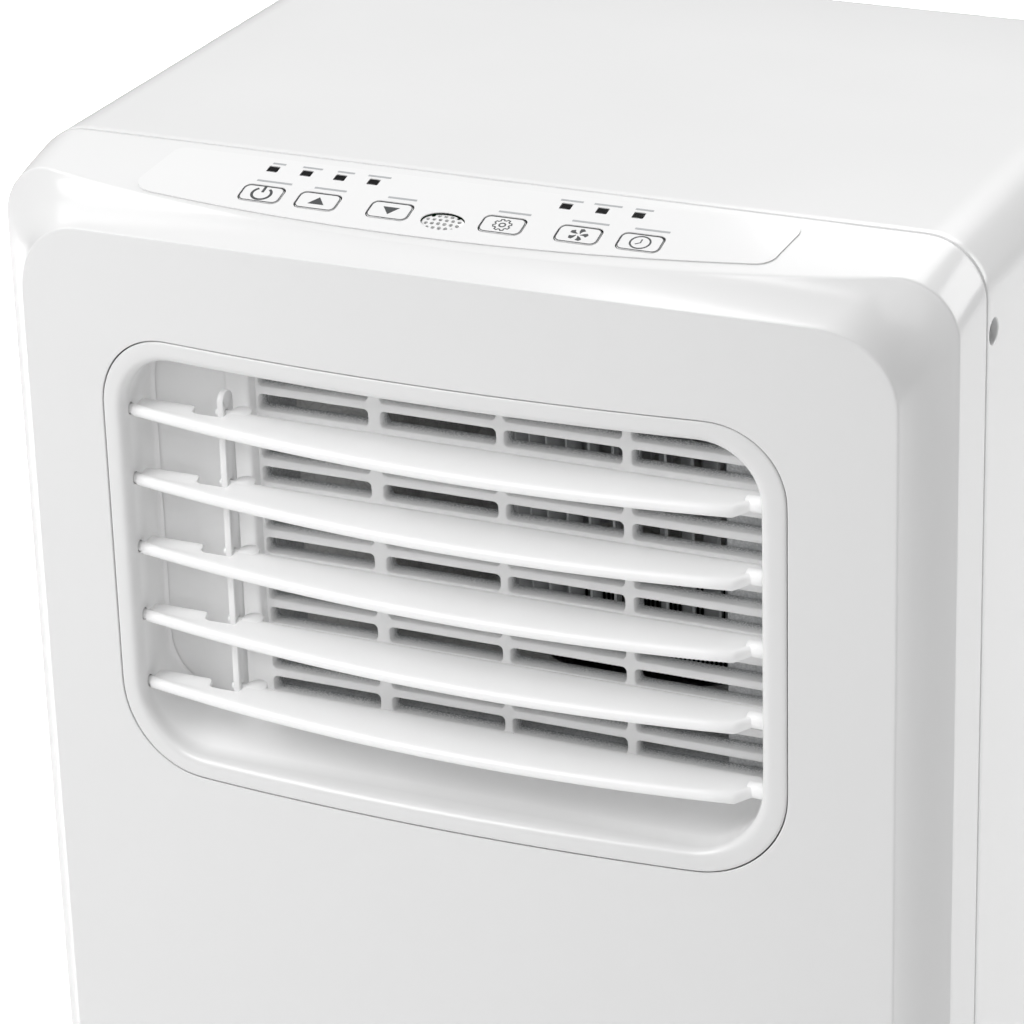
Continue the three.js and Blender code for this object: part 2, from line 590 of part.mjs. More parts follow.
// ---- drain, plug and the bush of the mains lead ----------------------------------------------------------------
const alongY = (profile, x, y, z, sides) => turned(profile, 0, 0, sides).rotateX(-Math.PI / 2).translate(x, y, z);
{
  const y = CABINET_BACK - 11.4;
  const spout = [[4, 0], [4, 16.5], [6, 16.5], [6, 13.4], [9, 13.4], [9, 11.6], [7, 11.6], [7, 0]];
  put("drain_spout", alongY(spout, -110, y, 70, 10), WHITE_MATTE);
  put("drain_plug", join(rod("y", 3.7, y + 8, y + 17, -110, 70, 10), rod("y", 5.8, y + 16.7, y + 18, -110, 70, 12)), RUBBER);
  const bush = [[3.4, 0], [3.4, 15.5], [5.5, 15.5], [9, 13.6], [9, 11.6], [7, 11.6], [7, 0]];
  put("cord_bush", alongY(bush, 118, y, 70, 10), RUBBER);
}

// ---- inside, upper half: evaporator, drain tray, blower ----------------------------------------------------------
const BLOWER = { x: 28, y: SEAM + 84, r: 62, z0: HEIGHT - 168, z1: HEIGHT - 84 };
{
  const spiral = (grow, front) => {
    const out = [[-88 - grow, front]];
    for (let i = 0; i <= 10; i++) {
      const deg = 205 - 22 * i;
      const r = 78 + 22 * ((deg + 15) / 220) + grow;
      const a = (deg * Math.PI) / 180;
      out.push([BLOWER.x + r * Math.cos(a), BLOWER.y + r * Math.sin(a)]);
    }
    out.push([103.3 + grow, front]);
    return out;
  };
  const z0 = HEIGHT - 190;
  const z1 = HEIGHT - 62;
  put("blower_housing", cut(
    slab(spiral(0, SEAM + 14), z1 - z0).translate(0, 0, z0),
    slab(spiral(-2.5, SEAM + 6), z1 - z0 - 5).translate(0, 0, z0 + 2.5),
    rod("z", 50, z0 - 4, z0 + 6, BLOWER.x, BLOWER.y, 20),
    rod("z", 8, z1 - 6, z1 + 4, BLOWER.x, BLOWER.y, 10),
  ), EPS);
  const blades = [];
  for (let i = 0; i < 18; i++) {
    blades.push(box(BLOWER.r - 12.2, BLOWER.r - 1.2, -0.8, 0.8, BLOWER.z0 + 1, BLOWER.z1 - 1)
      .translate(-BLOWER.r + 6, 0, 0).rotateZ(0.5).translate(BLOWER.r - 6, 0, 0)
      .rotateZ((i / 18) * 2 * Math.PI).translate(BLOWER.x, BLOWER.y, 0));
  }
  const plate = rod("z", BLOWER.r, BLOWER.z1 - 2, BLOWER.z1, BLOWER.x, BLOWER.y, 20);
  const hub = rod("z", 12, BLOWER.z1 - 26, BLOWER.z1 + 4, BLOWER.x, BLOWER.y, 10);
  const rim = turned([[48, BLOWER.z0], [BLOWER.r, BLOWER.z0], [BLOWER.r, BLOWER.z0 + 2], [48, BLOWER.z0 + 2]],
    BLOWER.x, BLOWER.y, 20);
  put("blower_wheel", cut(join(plate, hub, rim, ...blades),
    rod("z", 4.4, BLOWER.z1 - 22, BLOWER.z1 + 9, BLOWER.x, BLOWER.y, 8)), WHITE_MATTE);
  put("blower_motor", join(
    rod("z", 40, z1 + 0.6, z1 + 36, BLOWER.x, BLOWER.y, 18),
    rod("z", 4, BLOWER.z1 - 16, z1 + 4, BLOWER.x, BLOWER.y, 8),
  ), STEEL);
}
// A finned coil: the block, its end plates and return bends.
function coil(x0, x1, y0, y1, z0, z1, bends) {
  const parts = [box(x0 - 1.5, x0 + 1, y0 - 2, y1 + 2, z0 - 2, z1 + 2), box(x1 - 1, x1 + 1.5, y0 - 2, y1 + 2, z0 - 2, z1 + 2)];
  for (let i = 0; i < bends; i++) {
    const z = z0 + ((i + 0.5) * (z1 - z0)) / bends;
    parts.push(box(x0 - 12, x0, y0 + 6, y0 + 13, z - 4, z + 4));
  }
  return join(box(x0, x1, y0, y1, z0, z1), ...parts);
}
put("evaporator", coil(-112, 112, SEAM + 179, SEAM + 208, HEIGHT - 258, HEIGHT - 46, 5), ALU);
{
  const tray = box(-158, 158, SEAM + 6, SEAM + 212, HEIGHT - 277, HEIGHT - 264);
  put("drain_tray", cut(tray, box(-156, 156, SEAM + 8, SEAM + 210, HEIGHT - 274.5, HEIGHT - 250),
    box(132, 150, SEAM + 150, SEAM + 176, HEIGHT - 290, HEIGHT - 250)), EPS);
}

// ---- inside, lower half: condenser, its fan, compressor ----------------------------------------------------------
put("condenser", coil(-112, 112, SEAM + 179, SEAM + 208, 92, 254, 4), ALU);
const FAN = { x: -30, z: 172, r: 70, y0: SEAM + 108, y1: SEAM + 160 };
{
  const outline = (grow) => {
    const out = [[-66 - grow, EXHAUST_Z + 62 + grow]];
    for (let i = 0; i <= 10; i++) {
      const deg = 160 + 22 * i;
      const r = 78 + 14 * (i / 10) + grow;
      const a = (deg * Math.PI) / 180;
      out.push([FAN.x + r * Math.cos(a), FAN.z + r * Math.sin(a)]);
    }
    out.push([66 + grow, EXHAUST_Z - 60], [66 + grow, EXHAUST_Z + 62 + grow]);
    return out.reverse();
  };
  const y0 = SEAM + 100;
  const y1 = SEAM + 172;
  const flat = (pts, a, b) => slab(pts, b - a).rotateX(Math.PI / 2).translate(0, b, 0);
  const shell = cut(flat(outline(0), y0, y1), flat(outline(-2.5), y0 + 2.5, y1 - 2.5));
  const spigot = alongY([[54.6, 0], [54.6, 28], [57, 28], [57, 0]], 0, y1 - 1, EXHAUST_Z, 20);
  put("fan_housing", cut(join(shell, spigot),
    rod("y", 50, y1 - 6, y1 + 6, FAN.x, FAN.z, 20),
    rod("y", 54.6, y1 - 6, y1 + 6, 0, EXHAUST_Z, 20),
    rod("y", 8, y0 - 6, y0 + 6, FAN.x, FAN.z, 10)), WHITE_MATTE);
  const blades = [];
  for (let i = 0; i < 14; i++) {
    blades.push(box(FAN.r - 15, FAN.r - 1.4, FAN.y0 + 1, FAN.y1 - 1, -0.8, 0.8)
      .translate(-FAN.r + 8, 0, 0).rotateY(0.5).translate(FAN.r - 8, 0, 0)
      .rotateY((i / 14) * 2 * Math.PI).translate(FAN.x, 0, FAN.z));
  }
  const hub = rod("y", 12, FAN.y0 - 3, FAN.y0 + 22, FAN.x, FAN.z, 10);
  const rim = alongY([[53, 0], [FAN.r, 0], [FAN.r, 2], [53, 2]], FAN.x, FAN.y1 - 2, FAN.z, 20);
  put("condenser_fan", cut(join(rod("y", FAN.r, FAN.y0, FAN.y0 + 2, FAN.x, FAN.z, 20), hub, rim, ...blades),
    rod("y", 4.4, FAN.y0 - 8, FAN.y0 + 18, FAN.x, FAN.z, 8)), WHITE_MATTE);
  put("fan_motor", join(
    rod("y", 38, y0 - 44, y0 - 0.6, FAN.x, FAN.z, 18),
    rod("y", 4, y0 - 4, FAN.y0 + 14, FAN.x, FAN.z, 8),
  ), STEEL);
}
{
  const x = 92;
  const y = SEAM + 62;
  const can = [[0, 62], [44, 62], [49, 68], [49, 236], [40, 252], [22, 260], [0, 262]];
  const spun = (p, n) => outward(
    new THREE.LatheGeometry(p.map(([r, z]) => new THREE.Vector2(r, z)), n).rotateX(Math.PI / 2));
  const body = spun(can, 18).translate(x, y, 0);
  const feet = [0, 1, 2].map((i) => box(0, 56, -7, 7, 60, 65).rotateZ((i * 2 * Math.PI) / 3 + 0.5).translate(x, y, 0));
  const pads = [0, 1, 2].map((i) => rod("z", 6, PAN.z0 + 3.1, 61, 50, 0, 8).rotateZ((i * 2 * Math.PI) / 3 + 0.5)
    .translate(x, y, 0));
  put("compressor", join(body, ...feet, ...pads), BLACK_PAINT);
  const tank = [[0, 120], [14, 124], [19, 132], [19, 238], [14, 246], [0, 250]];
  put("accumulator", spun(tank, 18).translate(20, SEAM + 24, 0), BLACK_PAINT);
}
function pipe(points, r = 3.6) {
  const s = new THREE.Shape(Array.from({ length: 6 }, (_, i) => new THREE.Vector2(
    r * Math.cos((i * Math.PI) / 3), r * Math.sin((i * Math.PI) / 3))));
  const path = new THREE.CatmullRomCurve3(points.map((p) => new THREE.Vector3(...p)), false, "centripetal");
  return new THREE.ExtrudeGeometry(s, { steps: 14, bevelEnabled: false, extrudePath: path });
}
put("discharge_pipe", pipe([[92, SEAM + 62, 262.4], [92, SEAM + 64, 300], [128, SEAM + 90, 312], [134, SEAM + 160, 300],
  [136, SEAM + 190, 262], [136, SEAM + 194, 210]]), COPPER);
put("suction_pipe", pipe([[20, SEAM + 24, 250.6], [20, SEAM + 26, 300], [70, SEAM + 34, 345], [128, SEAM + 80, 370],
  [141, SEAM + 160, 388], [141, SEAM + 163, 418], [136, SEAM + 190, 440], [136, SEAM + 196, 480]], 4.6), COPPER);
put("electrical_box", box(-150, -74, SEAM + 10, SEAM + 74, 312, 398), STEEL);
put("run_capacitor", rod("z", 16, 330, 398, -48, SEAM + 40, 18), ALU);

export default group;
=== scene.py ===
"""A compact portable air conditioner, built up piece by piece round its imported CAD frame.

Lengths in the sections are millimetres in the frame's own axes (+Z up, the front faces -Y), and `solid`
turns them into metres as it makes each mesh.
"""

import math

import bmesh
import bpy
from mathutils import Matrix, Vector, geometry


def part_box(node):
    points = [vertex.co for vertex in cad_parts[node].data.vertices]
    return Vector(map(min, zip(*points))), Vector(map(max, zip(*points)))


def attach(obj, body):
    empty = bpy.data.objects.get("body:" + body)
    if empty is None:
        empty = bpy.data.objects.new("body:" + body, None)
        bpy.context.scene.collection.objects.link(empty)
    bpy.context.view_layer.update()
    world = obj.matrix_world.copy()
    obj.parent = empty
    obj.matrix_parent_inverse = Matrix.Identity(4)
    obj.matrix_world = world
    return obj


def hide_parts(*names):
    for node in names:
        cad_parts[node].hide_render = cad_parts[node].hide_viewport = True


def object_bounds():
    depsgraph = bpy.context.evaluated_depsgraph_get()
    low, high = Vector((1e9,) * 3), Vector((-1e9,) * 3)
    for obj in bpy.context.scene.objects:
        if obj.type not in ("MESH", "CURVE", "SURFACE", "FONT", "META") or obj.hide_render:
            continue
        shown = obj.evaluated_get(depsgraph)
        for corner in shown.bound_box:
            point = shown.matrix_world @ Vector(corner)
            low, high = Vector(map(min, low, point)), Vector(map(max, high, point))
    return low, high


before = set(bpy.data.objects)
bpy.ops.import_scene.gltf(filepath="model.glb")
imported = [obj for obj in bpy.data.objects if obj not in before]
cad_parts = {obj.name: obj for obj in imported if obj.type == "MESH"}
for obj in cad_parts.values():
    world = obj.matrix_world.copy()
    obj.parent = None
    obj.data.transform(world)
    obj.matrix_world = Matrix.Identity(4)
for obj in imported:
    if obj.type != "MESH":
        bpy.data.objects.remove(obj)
cad_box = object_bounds()

# ---- camera ------------------------------------------------------------------------------------------------
# A long lens stands to the right of the front and looks down at the control panel and the air outlet.
lens = bpy.data.cameras.new("camera")
lens.lens = 150.1
lens.sensor_width = 36
lens.clip_end = 80
camera = bpy.data.objects.new("camera", lens)
bpy.context.scene.collection.objects.link(camera)
right, up, back = (0.91064, 0.41227, -0.02778), (-0.14341, 0.37839, 0.91447), (0.38752, -0.82877, 0.4037)
turn = Matrix((right, up, back)).transposed()
camera.matrix_world = Matrix.Translation((0.54191, -1.23744, 1.12572)) @ turn.to_4x4()
bpy.context.scene.camera = camera


# ---- floor and light ---------------------------------------------------------------------------------------
# A pale, matt painted studio floor, wide enough to fill the view, under large soft lamps. The main ones are at the
# front left and behind at the right. A lamp with a narrow spread washes the floor behind the object to white.
def linear(code):
    """An sRGB hex colour as linear RGBA."""
    parts = [int(code[i : i + 2], 16) / 255 for i in (1, 3, 5)]
    return (*[c / 12.92 if c <= 0.04045 else ((c + 0.055) / 1.055) ** 2.4 for c in parts], 1.0)


def add(material, kind, inputs=None, **settings):
    """Adds one shader node. An input is a value, or a (node, output) pair to link from."""
    tree = material.node_tree
    made = tree.nodes.new(kind)
    for key, value in settings.items():
        setattr(made, key, value)
    for key, value in (inputs or {}).items():
        if isinstance(value, tuple) and isinstance(value[0], bpy.types.Node):
            tree.links.new(value[0].outputs[value[1]], made.inputs[key])
        else:
            made.inputs[key].default_value = value
    return made


def finish(name):
    """An empty material, ready for its nodes."""
    made = bpy.data.materials.new(name)
    made.use_nodes = True
    made.node_tree.nodes.clear()
    return made


floor_paint = finish("matt_floor_paint")  # an even pale field with a roller's faint mottle
place = add(floor_paint, "ShaderNodeTexCoord")
mottle = add(floor_paint, "ShaderNodeTexNoise", {"Vector": (place, "Object"), "Scale": 1000 / 60, "Detail": 3.0})
shade = add(floor_paint, "ShaderNodeMix", {"Factor": (mottle, "Fac"), 6: linear("#f4f4f4"), 7: linear("#f8f8f8")},
            data_type="RGBA")
paint = add(floor_paint, "ShaderNodeBsdfPrincipled", {"Base Color": (shade, 2), "Roughness": 0.7,
                                                      "Specular IOR Level": 0.2})
add(floor_paint, "ShaderNodeOutputMaterial", {"Surface": (paint, "BSDF")})
FLOOR_HALF = 14.0
floor_mesh = bpy.data.meshes.new("floor")
floor_mesh.from_pydata([(-FLOOR_HALF, -FLOOR_HALF, 0), (FLOOR_HALF, -FLOOR_HALF, 0), (FLOOR_HALF, FLOOR_HALF, 0),
                        (-FLOOR_HALF, FLOOR_HALF, 0)], [], [(0, 1, 2, 3)])
floor_mesh.materials.append(floor_paint)
floor = bpy.data.objects.new("floor", floor_mesh)
bpy.context.scene.collection.objects.link(floor)

sky = bpy.data.worlds.new("white_surround")
sky.use_nodes = True
sky.node_tree.nodes["Background"].inputs["Color"].default_value = linear("#ffffff")
sky.node_tree.nodes["Background"].inputs["Strength"].default_value = 0.19
bpy.context.scene.world = sky
bpy.context.scene.view_settings.view_transform = "Standard"


def lamp(name, azimuth, elevation, distance, size, watts, aim=(0, 0, 0.5), spread=180):
    """A square soft box that faces `aim`. Azimuth 0 is in front of the object and 90 is on its right."""
    a, e = math.radians(azimuth), math.radians(elevation)
    way = Vector((math.sin(a) * math.cos(e), -math.cos(a) * math.cos(e), math.sin(e)))
    made = bpy.data.lights.new(name, "AREA")
    made.shape = "SQUARE"
    made.size = size
    made.energy = watts
    made.spread = math.radians(spread)
    held = bpy.data.objects.new(name, made)
    held.location = Vector(aim) + distance * way
    held.rotation_euler = (-way).to_track_quat("-Z", "Y").to_euler()
    bpy.context.scene.collection.objects.link(held)


lamp("front_left_softbox", -40, 45, 2.8, 1.6, 48)
lamp("front_low_softbox", -45, 12, 2.8, 1.6, 4)
lamp("front_softbox", 22, 26, 2.2, 1.2, 7)
lamp("left_softbox", -90, 45, 2.6, 1.4, 12)
lamp("rear_right_softbox", 125, 20, 2.6, 1.6, 31)
lamp("back_softbox", 180, 50, 2.8, 1.8, 34)
lamp("overhead_softbox", 0, 89, 2.4, 1.8, 3)
lamp("floor_wash", 180, 89.9, 2.2, 1.7, 40, (-1.25, 1.4, 0), 50)


# ---- front shell -------------------------------------------------------------------------------------------
# The front half of the cabinet, injection moulded in glossy white ABS with a 2.5 mm wall. From the seam a band
# runs forward to a sharp crease, a hollow cove drops from it to the bowed face, and the air outlet is let into
# that. It snaps onto the rear cabinet.
def mm(corner):
    """A corner from the frame, in millimetres."""
    return [1000 * c for c in corner]


HEIGHT = mm(cad_box[1])[2]
SEAM = mm(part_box("rear_cabinet")[0])[1] - 0.6  # y of the joint between the two shells
HALF_WIDTH = mm(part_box("rear_cabinet")[1])[0]
FLOOR_GAP = mm(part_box("rear_cabinet")[0])[2]  # lower edge of both shells
WALL = 2.5
CORNER = 20
VENT_X, VENT_HALF = -1.7, 118.7  # middle and half width of the opening for the outlet
VENT_TOP, VENT_BOTTOM = HEIGHT - 51.1, HEIGHT - 206.4
FACE_HALF = 150.6
TOP_STEPS, SIDE_STEPS, ARC_STEPS = 36, 14, 12


def clamp(value, low=0.0, high=1.0):
    return min(high, max(low, value))


def mix(a, b, t):
    return a + (b - a) * t


def crease_forward(x):
    """How much further forward the crease runs in the middle of the top than at the sides."""
    return 14 * (1 - min(1, abs(x) / 165) ** 2)


def crease_z(x):
    return HEIGHT - 4.5 - 6 * clamp(1 - (x / 150) ** 2) ** 0.8


def crease_y(x, z):
    return SEAM - 22 - crease_forward(x) * clamp((z - (HEIGHT - 40)) / 20)


def band_z(x, y):
    """Height of the sloping control band."""
    t = clamp((y - SEAM) / (-22 - crease_forward(x)))
    return HEIGHT - (HEIGHT - crease_z(x)) * (0.75 * t + 0.25 * t * t)


def face_y(x):
    x = clamp(x, -FACE_HALF, FACE_HALF)
    return SEAM - 38.4 - 12.8 * (1 - (x / FACE_HALF) ** 2)


def face_top(x):
    return HEIGHT - 14.5 - 3.4 * (x / 124.6) ** 2


def ring(half, top, bottom, r_top, y, r_bottom=None, cx=0.0):
    """One closed rounded outline. Every ring has the same points in the same order, so rings can be skinned."""
    r_bottom = r_top if r_bottom is None else r_bottom
    high = top if callable(top) else (lambda x: top)
    flat = []
    z_side = high(half - r_top) - r_top
    for i in range(TOP_STEPS + 1):
        x = (half - r_top) * (2 * i / TOP_STEPS - 1)
        flat.append((x, high(x)))
    for (ox, oz, r, start), side in (
        ((half - r_top, z_side, r_top, 90), (half, z_side, bottom + r_bottom)),
        ((half - r_bottom, bottom + r_bottom, r_bottom, 0), None),
        ((r_bottom - half, bottom + r_bottom, r_bottom, -90), (-half, bottom + r_bottom, z_side)),
        ((r_top - half, z_side, r_top, 180), None),
    ):
        for i in range(1, ARC_STEPS):
            a = math.radians(start - 90 * i / ARC_STEPS)
            flat.append((ox + r * math.cos(a), oz + r * math.sin(a)))
        if side:
            x, z_from, z_to = side
            flat += [(x, mix(z_from, z_to, i / SIDE_STEPS)) for i in range(SIDE_STEPS + 1)]
        elif start == 0:
            flat += [((half - r_bottom) * (1 - 2 * i / TOP_STEPS), bottom) for i in range(TOP_STEPS + 1)]
    return [(x + cx, y(x + cx, z), z) for x, z in flat]


def band_ring(t, inset, drop=0.0):
    return ring(HALF_WIDTH - inset, lambda x: band_z(x, SEAM + t * (-22 - crease_forward(x))) - drop,
                FLOOR_GAP + t + drop, CORNER - drop * 0.6,
                lambda x, z: SEAM + t * (crease_y(x, z) - SEAM))


def cove_ring(s, lift=0.0):
    """The cove is a hollow arc from the crease (s = 0) to the edge of the face (s = 1)."""
    a0, a1 = math.radians(25), math.radians(72)
    a = mix(a0, a1, s)
    inward = (math.sin(a) - math.sin(a0)) / (math.sin(a1) - math.sin(a0))
    forward = (math.cos(a0) - math.cos(a)) / (math.cos(a0) - math.cos(a1))
    return ring(mix(164.1, FACE_HALF, inward) - lift, lambda x: mix(crease_z(x), face_top(x), inward) - lift,
                mix(FLOOR_GAP + 1, FLOOR_GAP + 14, inward) + lift, mix(20, 26, inward) - lift * 0.4,
                lambda x, z: mix(crease_y(x, z), face_y(x), forward) + lift)


def vent_ring(grow, deep, lift=0.0, y=None, flare=0.0):
    """The outlet's outline, drawn in by `grow`, a little more on the right, and `deep` behind the face or at a set
    y. `flare` moves its left side outwards.
    """
    return ring(VENT_HALF - 1.11 * grow + flare / 2, VENT_TOP - grow, VENT_BOTTOM + grow + lift,
                max(3, 26 - grow * 0.8), (lambda x, z: face_y(x) + deep) if y is None else (lambda x, z: y),
                max(3, 30 - grow * 0.8 - lift * 0.6), VENT_X - 0.11 * grow - flare / 2)


def between(a, b, t, deep=0.0):
    """A ring on the face, part of the way from one ring to another."""
    return [(mix(p[0], q[0], t), face_y(mix(p[0], q[0], t)) + deep, mix(p[2], q[2], t)) for p, q in zip(a, b)]


def skin(rings, closed=True, caps=False):
    """Points and faces of a tube through equal rings, joined end to end, left open or capped."""
    n = len(rings[0])
    points = [p for r in rings for p in r]
    faces = []
    for k in range(len(rings) if closed else len(rings) - 1):
        a, b = k * n, ((k + 1) % len(rings)) * n
        faces += [(a + i, b + i, b + (i + 1) % n, a + (i + 1) % n) for i in range(n)]
    if caps:
        faces.append(tuple(range(n))[::-1])
        faces.append(tuple((len(rings) - 1) * n + i for i in range(n)))
    return points, faces


def solid(name, points, faces, material=None, smooth=40, levels=0):
    """An object from millimetre points, its faces turned outwards, smooth but for edges over `smooth` degrees."""
    mesh = bpy.data.meshes.new(name)
    mesh.from_pydata([tuple(c / 1000 for c in p) for p in points], [], faces)
    tidy = bmesh.new()
    tidy.from_mesh(mesh)
    bmesh.ops.remove_doubles(tidy, verts=tidy.verts, dist=1e-7)
    bmesh.ops.recalc_face_normals(tidy, faces=tidy.faces)
    if tidy.calc_volume(signed=True) < 0:
        bmesh.ops.reverse_faces(tidy, faces=tidy.faces)
    tidy.to_mesh(mesh)
    tidy.free()
    made = bpy.data.objects.new(name, mesh)
    bpy.context.scene.collection.objects.link(made)
    if material:
        mesh.materials.append(material)
    if levels:
        rounder = made.modifiers.new("rounding", "SUBSURF")
        rounder.levels = rounder.render_levels = levels
        settle(made)
    soften(made, smooth)
    return made


def soften(made, angle):
    for polygon in made.data.polygons:
        polygon.use_smooth = True
    made.data.set_sharp_from_angle(angle=math.radians(angle))


def settle(made):
    """Applies an object's modifiers."""
    bpy.context.view_layer.update()
    shaped = bpy.data.meshes.new_from_object(made.evaluated_get(bpy.context.evaluated_depsgraph_get()))
    made.modifiers.clear()
    old, made.data = made.data, shaped
    bpy.data.meshes.remove(old)


def carve(made, tool, how="DIFFERENCE"):
    """Cuts the tool's shape out of an object, or joins it on, and throws the tool away."""
    cutter = made.modifiers.new("cut", "BOOLEAN")
    cutter.operation = how
    cutter.solver = "EXACT"
    cutter.object = tool
    settle(made)
    bpy.data.objects.remove(tool)


def brick(x, y, z):
    """Points and faces of a block between three pairs of limits."""
    corners = [(a, b, c) for a in x for b in y for c in z]
    return corners, [(0, 1, 3, 2), (4, 6, 7, 5), (0, 4, 5, 1), (2, 3, 7, 6), (0, 2, 6, 4), (1, 5, 7, 3)]


def moulded(name, low, high, rough, ripple=0.02, ior=1.53):
    """Moulded plastic: two near shades that drift over 90 mm, and the faint 3 mm ripple of a polished tool."""
    made = finish(name)
    place = add(made, "ShaderNodeTexCoord")
    drift = add(made, "ShaderNodeTexNoise", {"Vector": (place, "Object"), "Scale": 1000 / 90, "Detail": 2.0})
    tone = add(made, "ShaderNodeMix", {"Factor": (drift, "Fac"), 6: linear(low), 7: linear(high)}, data_type="RGBA")
    peel = add(made, "ShaderNodeTexNoise", {"Vector": (place, "Object"), "Scale": 1000 / 3.0, "Detail": 2.0})
    bump = add(made, "ShaderNodeBump", {"Height": (peel, "Fac"), "Strength": ripple, "Distance": 0.0004})
    gloss = add(made, "ShaderNodeMapRange", {"Value": (drift, "Fac"), "To Min": rough * 0.9, "To Max": rough * 1.15})
    body = add(made, "ShaderNodeBsdfPrincipled", {"Base Color": (tone, 2), "Roughness": (gloss, "Result"),
                                                  "Normal": (bump, "Normal"), "IOR": ior})
    add(made, "ShaderNodeOutputMaterial", {"Surface": (body, "BSDF")})
    return made


# Glossy white ABS: clean white with a clear highlight, a little softer than glass.
gloss_abs = moulded("injection_moulded_white_abs", "#e3e3e3", "#e6e6e6", 0.22)

edge_of_face = cove_ring(1)
opening = vent_ring(0, 0)
shell_rings = [band_ring(0, WALL, WALL)]
shell_rings += [[(x, y + back, z) for x, y, z in band_ring(0, inset, inset)]
                for inset, back in ((0.55, 0.0), (0.16, -0.16), (0.0, -0.55))]
shell_rings += [band_ring(t, 0.9 * t) for t in (0.12, 0.35, 0.65, 0.9, 0.97)]
shell_rings += [cove_ring(s) for s in (0, 0.03, 0.1, 0.22, 0.36, 0.5, 0.64, 0.78, 0.89, 0.95)]
shell_rings += [edge_of_face]
shell_rings += [between(edge_of_face, opening, t) for t in (0.02, 0.07, 0.18, 0.34, 0.5, 0.66, 0.82, 0.95, 0.985)]
shell_rings += [vent_ring(-0.35, 0), vent_ring(-0.1, 0.1), vent_ring(0.0, 0.4), vent_ring(0.0, WALL)]
inner_edge = cove_ring(1, WALL)
shell_rings += [between(inner_edge, opening, t, WALL) for t in (0.75, 0.35)]
shell_rings += [inner_edge, cove_ring(0.5, WALL), cove_ring(0, WALL), band_ring(0.5, 0.4 + WALL, WALL)]
front_shell = solid("front_shell_moulding", *skin(shell_rings), gloss_abs, 28, levels=1)
# One long window under the control film lets the keys, lamps and sensor through.
carve(front_shell, solid("window", *brick((-84, 72), (SEAM - 28.4, SEAM - 7.6), (HEIGHT - 12, HEIGHT + 5))))
soften(front_shell, 28)
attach(front_shell, "base")
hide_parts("front_shell")


# ---- control film ------------------------------------------------------------------------------------------
# A clear-faced polyester film, printed white from behind, stuck into the band over the keys. It is 0.3 mm thick,
# with punched holes for the keys, the seven lamps and the sensor. Plain short bars are printed where a maker
# would print words.
KEY_Y, LAMP_Y, SENSOR_X, SENSOR_Y = SEAM - 23, SEAM - 10, -4.4, SEAM - 24.7
KEYS = {"power": -68.5, "up": -48.6, "down": -23.4, "mode": 15.3, "speed": 40.9, "timer": 61.5}
LAMPS = {"left": (-70.8, -58.9, -47, -35.2), "right": (31.2, 43.4, 55.6)}
KEY_HOLE, KEY_SIZE, KEY_CORNER = (14.9, 8.8), (14.2, 8.1), 2.2
FILM_LIFT, FILM_THICK = 0.15, 0.3
FILM_LEFT, FILM_RIGHT = -109.6, 105.3  # before its ends are leaned


def rounded(width, height, radius, steps=6, cx=0.0, cy=0.0):
    """A rounded rectangle, anticlockwise from the middle of its right side's top corner."""
    points = []
    for k, (sx, sy) in enumerate(((1, 1), (-1, 1), (-1, -1), (1, -1))):
        for i in range(steps + 1):
            a = (k + i / steps) * math.pi / 2
            points.append((cx + sx * (width / 2 - radius) + radius * math.cos(a),
                           cy + sy * (height / 2 - radius) + radius * math.sin(a)))
    return points


def circle(radius, steps=24, cx=0.0, cy=0.0):
    return [(cx + radius * math.cos(2 * math.pi * i / steps), cy + radius * math.sin(2 * math.pi * i / steps))
            for i in range(steps)]


def inside(p, loop):
    hit = False
    for (x0, y0), (x1, y1) in zip(loop, loop[1:] + loop[:1]):
        if (y0 > p[1]) != (y1 > p[1]) and p[0] < x0 + (p[1] - y0) * (x1 - x0) / (y1 - y0):
            hit = not hit
    return hit


def sheet(outer, holes, low, high, grid=0.0):
    """Points and faces of a sheet with holes. low and high place a flat point on its two sides, and a grid of
    inner points lets it follow a curve."""
    flat = [Vector(p) for p in outer]
    loops = [list(outer)] + [list(h) for h in holes]
    edges = [(i, (i + 1) % len(outer)) for i in range(len(outer))]
    for h in holes:
        n = len(flat)
        flat += [Vector(p) for p in h]
        edges += [(n + i, n + (i + 1) % len(h)) for i in range(len(h))]
    if grid:
        x0, x1 = min(p[0] for p in outer), max(p[0] for p in outer)
        y0, y1 = min(p[1] for p in outer), max(p[1] for p in outer)
        across, along = max(1, round((x1 - x0) / grid)), max(1, round((y1 - y0) / grid))
        for i in range(1, across):
            for j in range(1, along):
                p = Vector((mix(x0, x1, i / across), mix(y0, y1, j / along)))
                if inside(p, loops[0]) and all((p - q).length > 0.4 * grid for q in flat[: len(edges)]):
                    if not any(inside(p, h) for h in loops[1:]):
                        flat.append(p)
    points, _, triangles, *_ = geometry.delaunay_2d_cdt(flat, edges, [], 0, 1e-6, True)
    kept = []
    for t in triangles:
        middle = sum((points[i] for i in t), Vector((0, 0))) / 3
        if inside(middle, loops[0]) and not any(inside(middle, h) for h in loops[1:]):
            kept.append(tuple(t))
    n = len(points)
    used = {}
    for t in kept:
        for a, b in zip(t, t[1:] + t[:1]):
            used[(a, b)] = used.get((a, b), 0) + 1
    rim = [(a, b) for a, b in used if (b, a) not in used]
    faces = kept + [tuple(n + i for i in t[::-1]) for t in kept] + [(b, a, n + a, n + b) for a, b in rim]
    return [high(*p) for p in points] + [low(*p) for p in points], faces


def film_edge(x, front):
    """The film's front and back edges, with rounded corners. The front one runs further back at the right."""
    reach = min(x - FILM_LEFT, FILM_RIGHT - x)
    bite = 5 - math.sqrt(max(0, 25 - (5 - reach) ** 2)) if reach < 5 else 0
    return SEAM - 22 - crease_forward(x) + 3.1 + 1.6 * x / 95 + bite if front else SEAM - 4.2 - bite


